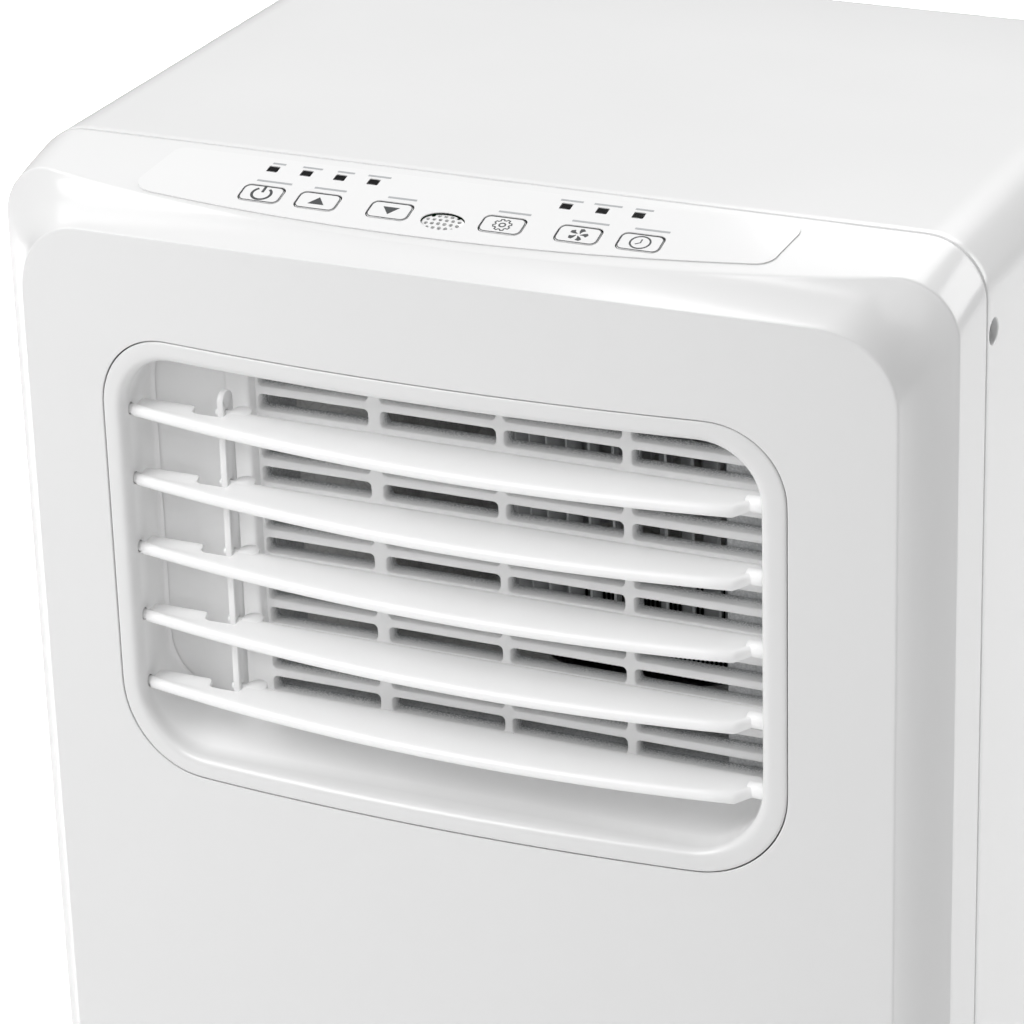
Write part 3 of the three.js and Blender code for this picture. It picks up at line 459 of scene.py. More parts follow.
stops = [FILM_LEFT + d for d in (0, 0.25, 0.8, 1.7, 3, 5)] + [-100 + 4 * i for i in range(50)]
stops += [FILM_RIGHT - d for d in (5, 3, 1.7, 0.8, 0.25, 0)]
film_outline = [(x - 2.7 * clamp((-100 - x) / 9.6) + 0.4 * clamp((x - 90) / 15), film_edge(x, True)) for x in stops]
film_outline += [(x + 0.8 * clamp((-100 - x) / 9.6) + 2.6 * clamp((x - 90) / 15), film_edge(x, False))
                 for x in stops[::-1]]
punched = [rounded(*KEY_HOLE, KEY_CORNER + 0.35, 6, x, KEY_Y) for x in KEYS.values()]
punched += [rounded(3.9, 3.3, 0.4, 2, x, LAMP_Y) for xs in LAMPS.values() for x in xs]
punched.append([(SENSOR_X + 7.4 * math.cos(t * math.pi / 20), SENSOR_Y + 4.25 * math.sin(t * math.pi / 20))
                for t in range(40)])
film_points, film_faces = sheet(film_outline, punched, lambda x, y: (x, y, band_z(x, y) + FILM_LIFT),
                                lambda x, y: (x, y, band_z(x, y) + FILM_LIFT + FILM_THICK), 5.0)


def ink_strip(path, width, closed=False):
    """A flat stroke of ink along a path: its points and faces."""
    points, faces = [], []
    n = len(path)
    for i, p in enumerate(path):
        a, b = path[i - 1 if i or closed else 0], path[(i + 1) % n if i < n - 1 or closed else i]
        way = Vector((b[0] - a[0], b[1] - a[1])).normalized()
        side = Vector((-way.y, way.x)) * width / 2
        points += [(p[0] + side.x, p[1] + side.y), (p[0] - side.x, p[1] - side.y)]
    for i in range(n if closed else n - 1):
        a, b = 2 * i, 2 * ((i + 1) % n)
        faces.append((a, a + 1, b + 1, b))
    return points, faces


def print_on(made, shapes, place, ink):
    """Prints flat shapes as a film of ink 0.04 mm thick. place lifts a flat point onto the piece."""
    made.data.materials.append(ink)
    number = len(made.data.materials) - 1
    work = bmesh.new()
    work.from_mesh(made.data)
    for points, faces in shapes:
        rows = [[work.verts.new([c / 1000 for c in place(*p, h)]) for p in points] for h in (0.0, 0.04)]
        for face in faces:
            fresh = [work.faces.new([rows[1][i] for i in face]), work.faces.new([rows[0][i] for i in face[::-1]])]
            for f in fresh:
                f.material_index = number
        rim = {}
        for face in faces:
            for a, b in zip(face, face[1:] + face[:1]):
                rim[(a, b)] = True
        for a, b in rim:
            if (b, a) not in rim:
                work.faces.new([rows[1][b], rows[1][a], rows[0][a], rows[0][b]]).material_index = number
    bmesh.ops.recalc_face_normals(work, faces=work.faces)
    work.to_mesh(made.data)
    work.free()


# Polyester film over white ink: an even pale surface with the sharpest highlight on the machine.
film_finish = moulded("white_printed_polyester_film", "#e8e8e8", "#eaeaea", 0.1, 0.008, 1.6)
grey_ink = moulded("screen_printed_grey_ink", "#a3a5a7", "#a9abad", 0.5, 0.0)
dark_ink = moulded("screen_printed_black_ink", "#3c3e40", "#434547", 0.45, 0.0)
film = solid("control_film", film_points, film_faces, film_finish, 30)
bars = [(x + 1.5, KEY_Y + 6.3, w) for x, w in zip(KEYS.values(), (12.4, 11.2, 10, 11, 12.4, 11.6))]
bars += [(x + 0.8, LAMP_Y + 3.0, w) for x, w in zip((*LAMPS["left"], *LAMPS["right"]), (4.6, 7, 6, 8, 7.6, 9.4, 6))]
print_on(film, [ink_strip([(x - w / 2, y), (x + w / 2, y)], 0.85) for x, y, w in bars],
         lambda x, y, h: (x, y, band_z(x, y) + FILM_LIFT + FILM_THICK + h), grey_ink)
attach(film, "base")
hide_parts("control_label")


# ---- keys --------------------------------------------------------------------------------------------------
# Six white ABS key caps, each on its own switch and held in a hole of the film with 0.35 mm of air round it. Each
# has a printed outline and a plain symbol: power, up, down, a gear, a fan and a clock face.
def tilted(x, y):
    """Places (across, up the slope, proud) on the band at a point."""
    slope = math.atan2(band_z(x, y + 2) - band_z(x, y - 2), 4)
    s, c, z = math.sin(slope), math.cos(slope), band_z(x, y)
    return lambda u, v, h: (x + u, y + v * c - h * s, z + v * s + h * c)


def polar(radius, degrees):
    return radius * math.cos(math.radians(degrees)), radius * math.sin(math.radians(degrees))


def flat_shape(points):
    return points, [tuple(range(len(points)))]


gear = []
for tooth in range(8):
    gear += [polar(r, 45 * tooth + d) for r, d in ((1.9, 0), (2.45, 7), (2.45, 24), (1.9, 31))]
blades = []
for k in range(5):
    blades.append(flat_shape([polar(r, 72 * k + d) for r, d in ((0.55, 0), (1.5, 22), (2.45, 20), (2.75, 2), (2.3, -22),
                                                                (1.55, -12), (0.9, -14), (0.5, -30))]))
SYMBOLS = {
    "power": [ink_strip([polar(2.6, 125 + 290 * i / 24) for i in range(25)], 0.75),
              ink_strip([(0, 0.6), (0, 3.3)], 0.75)],
    "up": [flat_shape([(-2.3, -1.5), (2.3, -1.5), (0, 1.7)])],
    "down": [flat_shape([(2.3, 1.5), (-2.3, 1.5), (0, -1.7)])],
    "mode": [ink_strip(gear, 0.42, True), ink_strip(circle(0.8, 16), 0.42, True)],
    "speed": blades,
    "timer": [ink_strip(circle(2.6, 32), 0.5, True), ink_strip([(0.1, 1.4), (0.1, -0.1), (-1.1, -0.9)], 0.4)],
}
for name, x in KEYS.items():
    at = tilted(x, KEY_Y)
    stack = []
    for inset, h in ((0, -4.2), (0, FILM_LIFT), (0.06, FILM_LIFT + 0.22), (0.25, FILM_LIFT + 0.34),
                     (1.6, FILM_LIFT + 0.36)):
        w, d = KEY_SIZE[0] - 2 * inset, KEY_SIZE[1] - 2 * inset
        stack.append([at(u, v, h) for u, v in rounded(w, d, max(0.5, KEY_CORNER - inset), 6)])
    cap_points, cap_faces = skin(stack, closed=False, caps=True)
    stem = len(cap_points)
    stem_points, stem_faces = brick((-1.5, 1.5), (-1.5, 1.5), (-6.2, -4.1))
    cap_points += [at(*p) for p in stem_points]
    cap_faces += [tuple(stem + i for i in f) for f in stem_faces]
    key = solid(f"key_{name}", cap_points, cap_faces, film_finish, 30)
    outline = ink_strip(rounded(KEY_SIZE[0] - 0.5, KEY_SIZE[1] - 0.5, KEY_CORNER - 0.2, 6), 0.32, True)
    print_on(key, [outline], lambda u, v, h: at(u, v, FILM_LIFT + 0.35 + h), dark_ink)
    print_on(key, SYMBOLS[name], lambda u, v, h: at(1.25 * u, 1.15 * v, FILM_LIFT + 0.35 + h), dark_ink)
    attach(key, f"button_{name}")
    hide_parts(f"button_{name}")

# ---- sensor cover and lamps --------------------------------------------------------------------------------
# An oval ABS cover with a staggered field of 1.2 mm holes stands over the room sensor. The seven lamps shine
# through smoked acrylic pegs on two light guides, flush with the film and dark when off. The green circuit board
# with the switches lies under them.
at = tilted(SENSOR_X, SENSOR_Y)
sensor_holes = []
for row, count in ((-1.5, 5), (-0.5, 6), (0.5, 6), (1.5, 5)):
    sensor_holes += [circle(0.7, 10, (i - (count - 1) / 2) * 2.15, row * 1.95) for i in range(count)]
oval = [(7.2 * math.cos(t * math.pi / 20), 4.05 * math.sin(t * math.pi / 20)) for t in range(40)]


def crowned(u, v, h):
    """The cover is crowned by 0.4 mm."""
    return at(u, v, h + 0.4 * (1 - (u / 7.2) ** 2 - (v / 4.05) ** 2))


sensor = solid("sensor_cover", *sheet(oval, sensor_holes, lambda u, v: crowned(u, v, -1.5),
                                      lambda u, v: crowned(u, v, -0.3), 1.4), film_finish, 35)
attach(sensor, "base")
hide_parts("sensor_cap")
smoked = moulded("smoked_acrylic", "#0d0d0e", "#141416", 0.12, 0.004, 1.49)  # near black, glassy
for side, xs in LAMPS.items():
    guide_points, guide_faces = [], []
    low = band_z(xs[0], LAMP_Y)
    blocks = [((xs[0] - 5, xs[-1] + 5), (LAMP_Y - 3.5, LAMP_Y + 3.0), (low - 8, low - 5.2))]
    for block in blocks:
        n = len(guide_points)
        p, f = brick(*block)
        guide_points += p
        guide_faces += [tuple(n + i for i in face) for face in f]
    for x in xs:
        here = tilted(x, LAMP_Y)
        stack = [[here(u, v, h) for u, v in rounded(3.2 - 2 * inset, 2.6 - 2 * inset, 0.25, 2)]
                 for inset, h in ((0, -6), (0, 0.3), (0.1, 0.42))]
        n = len(guide_points)
        p, f = skin(stack, closed=False, caps=True)
        guide_points += p
        guide_faces += [tuple(n + i for i in face) for face in f]
    guide = solid(f"lamp_guide_{side}", guide_points, guide_faces, smoked, 30)
    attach(guide, "base")
    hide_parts(f"led_guide_{side}")

board_mask = finish("green_solder_mask")  # printed circuit board: satin green with a 2.5 mm pattern of tracks
place = add(board_mask, "ShaderNodeTexCoord")
tracks = add(board_mask, "ShaderNodeTexBrick", {"Vector": (place, "Object"), "Scale": 1000 / 5, "Mortar Size": 0.04,
                                                "Color1": linear("#2c6a3b"), "Color2": linear("#27613a"),
                                                "Mortar": linear("#4f8f5a")})
lacquer = add(board_mask, "ShaderNodeBsdfPrincipled", {"Base Color": (tracks, "Color"), "Roughness": 0.4})
add(board_mask, "ShaderNodeOutputMaterial", {"Surface": (lacquer, "BSDF")})


def dress(name, material):
    """Gives a CAD node that keeps its own shape a real finish."""
    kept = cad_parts[name]
    kept.data.materials.clear()
    kept.data.materials.append(material)
    for polygon in kept.data.polygons:
        polygon.use_smooth = True
    kept.data.set_sharp_from_angle(angle=math.radians(32))


dress("control_board", board_mask)


# ---- outlet surround ---------------------------------------------------------------------------------------
# A separate gloss ABS moulding pushed into the face from the front. A flat ring lies in the face with a fine gap
# round it, then the walls run back past the louvres, and the floor rises in a scoop to the grille.
GRILLE_Y = SEAM - 13.4
LOUVRES, LOUVRE_PITCH = 5, 24.6
LOUVRE_Y, LOUVRE_TOP = SEAM - 37, HEIGHT - 80.1
back_y = GRILLE_Y - 0.3
surround_rings = [vent_ring(0.25, 2.4), vent_ring(0.25, 0.7), vent_ring(0.4, 0.2), vent_ring(0.85, 0.0),
                  vent_ring(2.6, 0.0), vent_ring(4.3, 0.0), vent_ring(5.3, 0.16), vent_ring(6.2, 0.65),
                  vent_ring(6.85, 1.5), vent_ring(7.2, 2.6), vent_ring(7.35, 4.0)]
surround_rings += [vent_ring(g, 0, lift, SEAM + y, 0.27 * (y + 37)) for g, lift, y in
                   ((7.45, 0.5, -34), (7.5, 1.1, -30.5), (7.6, 2.0, -27), (7.65, 3.1, -23.5), (7.7, 4.3, -20),
                    (7.75, 5.6, -17), (7.9, 6.4, -15), (8.4, 6.8, -14.2), (9.4, 7.0, -13.8))]
surround_rings += [vent_ring(9.6, 0, 7.0, back_y, 6.3), vent_ring(5.8, 0, 7.0, back_y, 6.3),
                   vent_ring(5.6, 0, 3.4, SEAM - 22, 4), vent_ring(5.4, 0, 0.5, SEAM - 33, 1), vent_ring(5.2, 4)]
vent_abs = moulded("white_abs_painted_light_inside", "#fcfcfc", "#fefefe", 0.25)  # the ring's white, with painted light making it brighter further in
body = vent_abs.node_tree.nodes["Principled BSDF"]
inner_tone = body.inputs["Base Color"].links[0].from_node
place = add(vent_abs, "ShaderNodeTexCoord")
axes = add(vent_abs, "ShaderNodeSeparateXYZ", {"Vector": (place, "Object")})
inwards = add(vent_abs, "ShaderNodeMapRange", {"Value": (axes, "Y"), "From Min": (face_y(110) + 1) / 1000,
                                               "From Max": (face_y(110) + 7) / 1000})
# Painted light: a ramp from the face's grey to a brighter white deeper in the outlet, lifting its shade.
painted_light_ramp = add(vent_abs, "ShaderNodeMix", {"Factor": (inwards, "Result"), 6: linear("#e4e4e4"), 7: (inner_tone, 2)},
           data_type="RGBA")
vent_abs.node_tree.links.new(painted_light_ramp.outputs[2], body.inputs["Base Color"])
surround = solid("outlet_surround", *skin(surround_rings), vent_abs, 50, levels=1)
pins = []
for i in range(LOUVRES):
    pins.append([(x, LOUVRE_Y + 2.15 * math.cos(t * math.pi / 12), LOUVRE_TOP - i * LOUVRE_PITCH
                  + 2.15 * math.sin(t * math.pi / 12)) for x in (VENT_X - 118, VENT_X + 118) for t in range(24)])
bore_points, bore_faces = [], []
for loop in pins:
    n = len(bore_points)
    p, f = skin([loop[:24], loop[24:]], closed=False, caps=True)
    bore_points += p
    bore_faces += [tuple(n + i for i in face) for face in f]
carve(surround, solid("bores", bore_points, bore_faces))
soften(surround, 50)
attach(surround, "base")
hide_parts("vent_surround")

# ---- outlet grille -----------------------------------------------------------------------------------------
# One ABS grating behind the louvres: fifteen rows of slots in four columns, too low for a finger to reach the
# blower. The slots have rounded corners and eased front edges. A solid wall and an upright rib are on the left,
# where the louvre link moves. Fine dust speckles and dulls the ledges, and painted shade greys them towards
# the back.
GRILLE_DEPTH = 6.5
BAR_PITCH, SLOT_HEIGHT = 8.533, 5.55
COLUMNS = ((-79.2, -39.3), (-34.9, 6.1), (8.9, 49.9), (53, 103))
slot_shapes = []
for x0, x1 in COLUMNS:
    for k in range(15):
        middle = HEIGHT - 62.134 - BAR_PITCH * k - SLOT_HEIGHT / 2
        slot_shapes.append(((x0 + x1) / 2, middle, x1 - x0, SLOT_HEIGHT))
plate_edge = [(VENT_X - 118, HEIGHT - 192), (VENT_X + 112, HEIGHT - 192), (VENT_X + 112, HEIGHT - 56),
              (VENT_X - 118, HEIGHT - 56)]


def grating(outer, shapes, corner, front, depth, ease=0.45):
    """Points and faces of a plate with rounded slots whose front edges are eased."""
    levels = [(ease, 0.0), (ease * 0.3, ease * 0.3), (0.0, ease), (0.0, depth)]
    loops = [[rounded(w + 2 * g, h + 2 * g, corner + g, 5, cx, cz) for g, _ in levels] for cx, cz, w, h in shapes]
    points, faces = [], []
    for deep, level, flip in ((0.0, 0, False), (depth, 3, True)):
        p, f = sheet(outer, [hole[level] for hole in loops], lambda x, z: (x, 0, z), lambda x, z: (x, 1, z))
        half = len(p) // 2
        n = len(points)
        points += [(x, front + deep, z) for x, _, z in p[:half]]
        faces += [tuple(n + i for i in (t[::-1] if flip else t)) for t in f if len(t) == 3 and max(t) < half]
    for hole in loops:
        n = len(points)
        p, f = skin([[(x, front + d, z) for x, z in loop] for loop, (_, d) in zip(hole, levels)], closed=False)
        points += p
        faces += [tuple(n + i for i in face) for face in f]
    n = len(points)
    p, f = skin([[(x, front + d, z) for x, z in outer] for d in (0.0, depth)], closed=False)
    points += p
    faces += [tuple(n + i for i in face[::-1]) for face in f]
    return points, faces


dust_and_shade_abs = finish("white_abs_dust_and_painted_shade_behind")  # gloss white at the front edge; further in, dust speckle and painted shade turn it grey
place = add(dust_and_shade_abs, "ShaderNodeTexCoord")
axes = add(dust_and_shade_abs, "ShaderNodeSeparateXYZ", {"Vector": (place, "Object")})
# Painted shade: the colour greys with depth into the slots, speckled by dust.
depth_in = add(dust_and_shade_abs, "ShaderNodeMapRange", {"Value": (axes, "Y"), "From Min": (GRILLE_Y + 0.6) / 1000,
                                                 "From Max": (GRILLE_Y + GRILLE_DEPTH) / 1000})
speck = add(dust_and_shade_abs, "ShaderNodeTexNoise", {"Vector": (place, "Object"), "Scale": 1000 / 0.5, "Detail": 2.0,
                                              "Roughness": 0.8})
grain = add(dust_and_shade_abs, "ShaderNodeMapRange", {"Value": (speck, "Fac"), "From Min": 0.4, "From Max": 0.6,
                                              "To Min": -0.55, "To Max": 0.55})
spread = add(dust_and_shade_abs, "ShaderNodeMath", {0: (depth_in, "Result"), 1: (grain, "Result")}, operation="ADD")
dust_and_shade_veil = add(dust_and_shade_abs, "ShaderNodeMath", {0: (spread, "Value"), 1: (depth_in, "Result")}, operation="MULTIPLY",
           use_clamp=True)
tone = add(dust_and_shade_abs, "ShaderNodeMix", {"Factor": (dust_and_shade_veil, "Value"), 6: linear("#fafafa"), 7: linear("#a2a4a6")},
           data_type="RGBA")
dull = add(dust_and_shade_abs, "ShaderNodeMapRange", {"Value": (dust_and_shade_veil, "Value"), "To Min": 0.3, "To Max": 0.9})
coarse = add(dust_and_shade_abs, "ShaderNodeBump", {"Height": (speck, "Fac"), "Strength": 0.15, "Distance": 0.0003})
bars_finish = add(dust_and_shade_abs, "ShaderNodeBsdfPrincipled", {"Base Color": (tone, 2), "Roughness": (dull, "Result"),
                                                          "Normal": (coarse, "Normal")})
add(dust_and_shade_abs, "ShaderNodeOutputMaterial", {"Surface": (bars_finish, "BSDF")})
grille = solid("outlet_grating", *grating(plate_edge, slot_shapes, 1.5, GRILLE_Y, GRILLE_DEPTH), dust_and_shade_abs, 50)
rib_levels = ((0.0, 1.0), (0.0, -3.9), (0.35, -4.7), (1.2, -5.0))
rib_rings = [[(x, GRILLE_Y + y, z) for x, z in rounded(9.1 - 2 * g, 110 - 2 * g, 1.6 - g * 0.6, 4, -84.45,
                                                       HEIGHT - 117)] for g, y in rib_levels]
rib = solid("rib", *skin(rib_rings, closed=False, caps=True))
carve(grille, rib, "UNION")
soften(grille, 50)
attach(grille, "base")
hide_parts("outlet_grille")

# ---- louvres -----------------------------------------------------------------------------------------------
# Five moulded ABS blades, thick and rounded along the front and thin at the back, their fronts bowed to follow the
# face. Each turns on two pins in the surround. A notch lets the link past, and a round tab beside it carries the
# link pin.
LOUVRE_REST = math.radians(9)
LINK_X, LINK_ARM = -82, 5.5


def louvre_section(x, depth_scale=1.0, thick=1.0, rear=6.2):
    """A blade's outline at x: (y, z) about the axis, from the back edge over the top and round the nose."""
    nose = -3 - 10.2 * (1 - ((x - 12) / 121) ** 2) + 4.6 * clamp((x - 99) / 4.5)
    r = 2.1
    top = [(rear - 0.15, 0.55), (rear - 0.6, 0.85), (4.0, 1.0), (2.0, 1.15), (0, 1.35), (mix(0, nose + r, 0.5), 1.6)]
    top = [(min(y, rear - 0.15), z) for y, z in top]
    front = [(nose + r - r * math.sin(math.radians(a)), r * math.cos(math.radians(a))) for a in
             (-8, 12, 32, 52, 72, 90, 108, 128, 148, 168, 188)]
    under = [(mix(0, nose + r, 0.5), -1.65), (0, -1.35), (2.0, -1.15), (4.0, -1.0), (rear - 0.6, -0.85),
             (rear - 0.15, -0.55), (rear, 0.0)]
    under = [(min(y, rear if z == 0 else rear - 0.15), z) for y, z in under]
    return [(x, y * depth_scale, z * thick) for y, z in top + front + under]


NOTCH_LEFT = LINK_X - 10
louvre_stations = [(-112.2, 0.9, 0.8, 5.6), (-112.0, 0.97, 0.94, 6.0), (-111.5, 1, 1, 6.2)]
louvre_stations += [(x, 1, 1, 6.2) for x in (-109, -105, -101, -97)]
louvre_stations += [(NOTCH_LEFT + dx, 1, 1, rear) for dx, rear in
                    ((-2, 6.2), (-1.3, 6.1), (-0.7, 5.7), (-0.3, 5.0), (0, 3.8), (0.3, 2.5), (0.8, 1.6), (1.5, 1.1),
                     (2.6, 0.9))]
louvre_stations += [(LINK_X + 1.9, 1, 1, 0.9), (LINK_X + 2.1, 1, 1, 6.2)]
louvre_stations += [(x, 1, 1, 6.2) for x in (*range(-78, 96, 6), 99, 100.5, 102)]
louvre_stations += [(103.5, 1, 1, 6.2), (104.3, 0.95, 0.95, 5.9), (105.2, 0.7, 0.88, 5.0), (106.3, 0.45, 0.7, 4.0)]
tilt = Matrix.Rotation(LOUVRE_REST, 3, "X")
louvre_abs = moulded("polished_white_abs_louvre", "#f8f8f8", "#fafafa", 0.3, 0.012)  # whiter and a little softer
for i in range(LOUVRES):
    rings = []
    for x, deep, thick, rear in louvre_stations:
        rings.append(louvre_section(x, deep, thick, rear))
    points, faces = skin(rings, closed=False, caps=True)
    parts = [(points, faces)]
    for radius, x0, x1, cy, steps in ((1.7, -115.1, -110, 0, 20), (2.75, 101.5, 107.6, 0, 24), (1.7, 107, 110.6, 0, 20),
                                      (1.1, LINK_X - 2.8, LINK_X + 3.4, LINK_ARM, 16)):
        ease = min(0.4, radius / 4)
        stack = [[(x, cy + r * math.cos(2 * math.pi * t / steps), r * math.sin(2 * math.pi * t / steps))
                  for t in range(steps)] for x, r in ((x0, radius - ease), (x0 + ease, radius), (x1 - ease, radius),
                                                      (x1, radius - ease))]
        parts.append(skin(stack, closed=False, caps=True))
    tab = []
    for z, r in ((-1.0, 3.3), (-0.75, 3.65), (0.75, 3.65), (1.0, 3.3)):
        tab.append([(LINK_X + 5.8 + r * math.cos(2 * math.pi * t / 32), 6.2 + r * math.sin(2 * math.pi * t / 32), z)
                    for t in range(32)])
    parts.append(skin(tab, closed=False, caps=True))
    blade_points, blade_faces = [], []
    for points, faces in parts:
        n = len(blade_points)
        blade_points += [tuple(tilt @ Vector(p) + Vector((0, LOUVRE_Y, LOUVRE_TOP - i * LOUVRE_PITCH))) for p in points]
        blade_faces += [tuple(n + j for j in f) for f in faces]
    blade = solid(f"louvre_blade_{i + 1}", blade_points, blade_faces, louvre_abs, 45)
    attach(blade, f"louvre_{i + 1}")
    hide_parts(f"louvre_{i + 1}")

# ---- louvre link -------------------------------------------------------------------------------------------
# A flat ABS strip on edge, 2.2 mm thick and 7 mm deep with a round top, ties the five blades together, so that
# one push tilts them all. It snaps over the pins on their tabs.
pin_y = LOUVRE_Y + LINK_ARM * math.cos(LOUVRE_REST)
pin_z = [LOUVRE_TOP - i * LOUVRE_PITCH + LINK_ARM * math.sin(LOUVRE_REST) for i in range(LOUVRES)]
middle_y, half_depth = pin_y + 0.9, 3.5
link_outline = [(middle_y + half_depth * math.cos(math.radians(a)),
                 pin_z[0] + 4 + half_depth * math.sin(math.radians(a)))
                for a in range(0, 181, 10)]
link_outline += [(middle_y - half_depth, pin_z[-1] - 3.0), (middle_y - half_depth + 0.5, pin_z[-1] - 3.5),
                 (middle_y + half_depth - 0.5, pin_z[-1] - 3.5), (middle_y + half_depth, pin_z[-1] - 3.0)]
link_holes = [circle(1.35, 20, pin_y, z) for z in pin_z]
link = solid("louvre_link_strip", *sheet(link_outline, link_holes, lambda y, z: (LINK_X - 1.1, y, z),
                                         lambda y, z: (LINK_X + 1.1, y, z)), louvre_abs, 30)
ease = link.modifiers.new("eased_edges", "BEVEL")
ease.width = 0.0003
ease.segments = 2
ease.limit_method = "ANGLE"
ease.angle_limit = math.radians(50)
settle(link)
soften(link, 30)
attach(link, "louvre_link")
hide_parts("louvre_link")

# ---- duct foam ---------------------------------------------------------------------------------------------
# A die-cut frame of pale closed-cell foam seals the gap between the grating and the duct. Its cut faces show the
# cells.
cut_foam = finish("die_cut_polyethylene_foam")  # matt light grey, pitted by 0.8 mm cells
place = add(cut_foam, "ShaderNodeTexCoord")
cells = add(cut_foam, "ShaderNodeTexVoronoi", {"Vector": (place, "Object"), "Scale": 1000 / 0.8})
pits = add(cut_foam, "ShaderNodeMix", {"Factor": (cells, "Distance"), 6: linear("#eeeff0"), 7: linear("#cfd1d2")},
           data_type="RGBA")
relief = add(cut_foam, "ShaderNodeBump", {"Height": (cells, "Distance"), "Strength": 0.5, "Distance": 0.0005})
foam_body = add(cut_foam, "ShaderNodeBsdfPrincipled", {"Base Color": (pits, 2), "Roughness": 0.95,
                                                       "Specular IOR Level": 0.2, "Normal": (relief, "Normal")})
add(cut_foam, "ShaderNodeOutputMaterial", {"Surface": (foam_body, "BSDF")})
dress("duct_foam", cut_foam)

# ---- blower ------------------------------------------------------------------------------------------------
# Behind the grating a forward-curved blower wheel stands on end in a volute of dark moulded foam: a back plate,
# 44 thin blades and a rim, moulded in grey polypropylene. Its motor hangs from the top of the volute.
wheel_low, wheel_high = (mm(c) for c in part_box("blower_wheel"))
WHEEL_X, WHEEL_Y = (wheel_low[0] + wheel_high[0]) / 2, (wheel_low[1] + wheel_high[1]) / 2
WHEEL_R = (wheel_high[0] - wheel_low[0]) / 2
WHEEL_TOP, BLADES = wheel_high[2] - 4, 44


def merged(parts):
    """Several (points, faces) as one."""
    points, faces = [], []
    for p, f in parts:
        n = len(points)
        points += p
        faces += [tuple(n + i for i in face) for face in f]
    return points, faces


def spun(profile, steps=48, closed=True):
    """A lathe about +Z from (radius, z) points: its points and faces. A closed profile makes a ring."""
    rings = [[(r * math.cos(2 * math.pi * t / steps), r * math.sin(2 * math.pi * t / steps), z) for t in range(steps)]
             for r, z in profile]
    return skin(rings, closed=closed, caps=not closed)


def moved(shape, x=0.0, y=0.0, z=0.0, turn=None):
    """A shape's points turned by a matrix and then moved."""
    points, faces = shape
    return [tuple((turn @ Vector(p) if turn else Vector(p)) + Vector((x, y, z))) for p in points], faces


wheel_parts = [spun([(4.4, WHEEL_TOP + 4), (12, WHEEL_TOP + 4), (12, WHEEL_TOP), (WHEEL_R - 0.5, WHEEL_TOP),
                     (WHEEL_R, WHEEL_TOP - 0.6), (WHEEL_R, WHEEL_TOP - 2), (12, WHEEL_TOP - 2), (12, WHEEL_TOP - 25),
                     (4.4, WHEEL_TOP - 25)], 64),
               spun([(50, wheel_low[2]), (WHEEL_R, wheel_low[2]), (WHEEL_R, wheel_low[2] + 2.5),
                     (50, wheel_low[2] + 2.5)], 64)]
for k in range(BLADES):
    a = 2 * math.pi * k / BLADES
    inner_arc = [(50.5, -0.5), (54, 1.2), (58, 2.2), (WHEEL_R - 0.8, 2.4)]
    loop = inner_arc + [(r, d + 0.9) for r, d in reversed(inner_arc)]
    loop = [(r * math.cos(a) - d * math.sin(a), r * math.sin(a) + d * math.cos(a)) for r, d in loop]
    wheel_parts.append(skin([[(x, y, z) for x, y in loop] for z in (wheel_low[2] + 1, WHEEL_TOP - 1)], closed=False,
                            caps=True))
grey_pp = moulded("moulded_grey_polypropylene", "#dcdedf", "#e4e6e7", 0.45, 0.03, 1.49)  # waxy, half matt
wheel = solid("blower_wheel_vaned", *moved(merged(wheel_parts), WHEEL_X, WHEEL_Y), grey_pp, 35)
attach(wheel, "blower_wheel")
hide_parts("blower_wheel")
bead_foam = finish("moulded_bead_foam")  # expanded polystyrene, off-white, its 4 mm beads outlined and dented
place = add(bead_foam, "ShaderNodeTexCoord")
beads = add(bead_foam, "ShaderNodeTexVoronoi", {"Vector": (place, "Object"), "Scale": 1000 / 4},
            feature="DISTANCE_TO_EDGE")
seams = add(bead_foam, "ShaderNodeMapRange", {"Value": (beads, "Distance"), "From Max": 0.12})
bead_tone = add(bead_foam, "ShaderNodeMix", {"Factor": (seams, "Result"), 6: linear("#eeeeec"), 7: linear("#fafaf8")},
                data_type="RGBA")
dents = add(bead_foam, "ShaderNodeBump", {"Height": (seams, "Result"), "Strength": 0.4, "Distance": 0.0004})
bead_body = add(bead_foam, "ShaderNodeBsdfPrincipled", {"Base Color": (bead_tone, 2), "Roughness": 0.85,
                                                        "Normal": (dents, "Normal")})
add(bead_foam, "ShaderNodeOutputMaterial", {"Surface": (bead_body, "BSDF")})
dress("blower_housing", bead_foam)
dress("drain_tray", bead_foam)
zinc = finish("zinc_plated_pressed_steel")  # cool grey metal with 12 mm spangle and a satin shine
place = add(zinc, "ShaderNodeTexCoord")
spangle = add(zinc, "ShaderNodeTexVoronoi", {"Vector": (place, "Object"), "Scale": 1000 / 12})
plating = add(zinc, "ShaderNodeMix", {"Factor": (spangle, "Color"), 6: linear("#a9adb0"), 7: linear("#c4c7c9")},
              data_type="RGBA")
satin = add(zinc, "ShaderNodeMapRange", {"Value": (spangle, "Distance"), "To Min": 0.28, "To Max": 0.45})
zinc_body = add(zinc, "ShaderNodeBsdfPrincipled", {"Base Color": (plating, 2), "Roughness": (satin, "Result"),
                                                   "Metallic": 1.0})
add(zinc, "ShaderNodeOutputMaterial", {"Surface": (zinc_body, "BSDF")})
dress("blower_motor", zinc)

# ---- rear cabinet ------------------------------------------------------------------------------------------
# The top and both sides are one gloss ABS moulding, an upside-down U with a 10 mm rounding at the back. A tongue
# inside its front edge lines it up with the front shell behind a 1 mm seam. Each side has a pocket to lift by
# and a round recess with the screw that holds the shells together.
BACK_Y = mm(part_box("rear_cabinet")[1])[1]
BACK_ROUND = 10


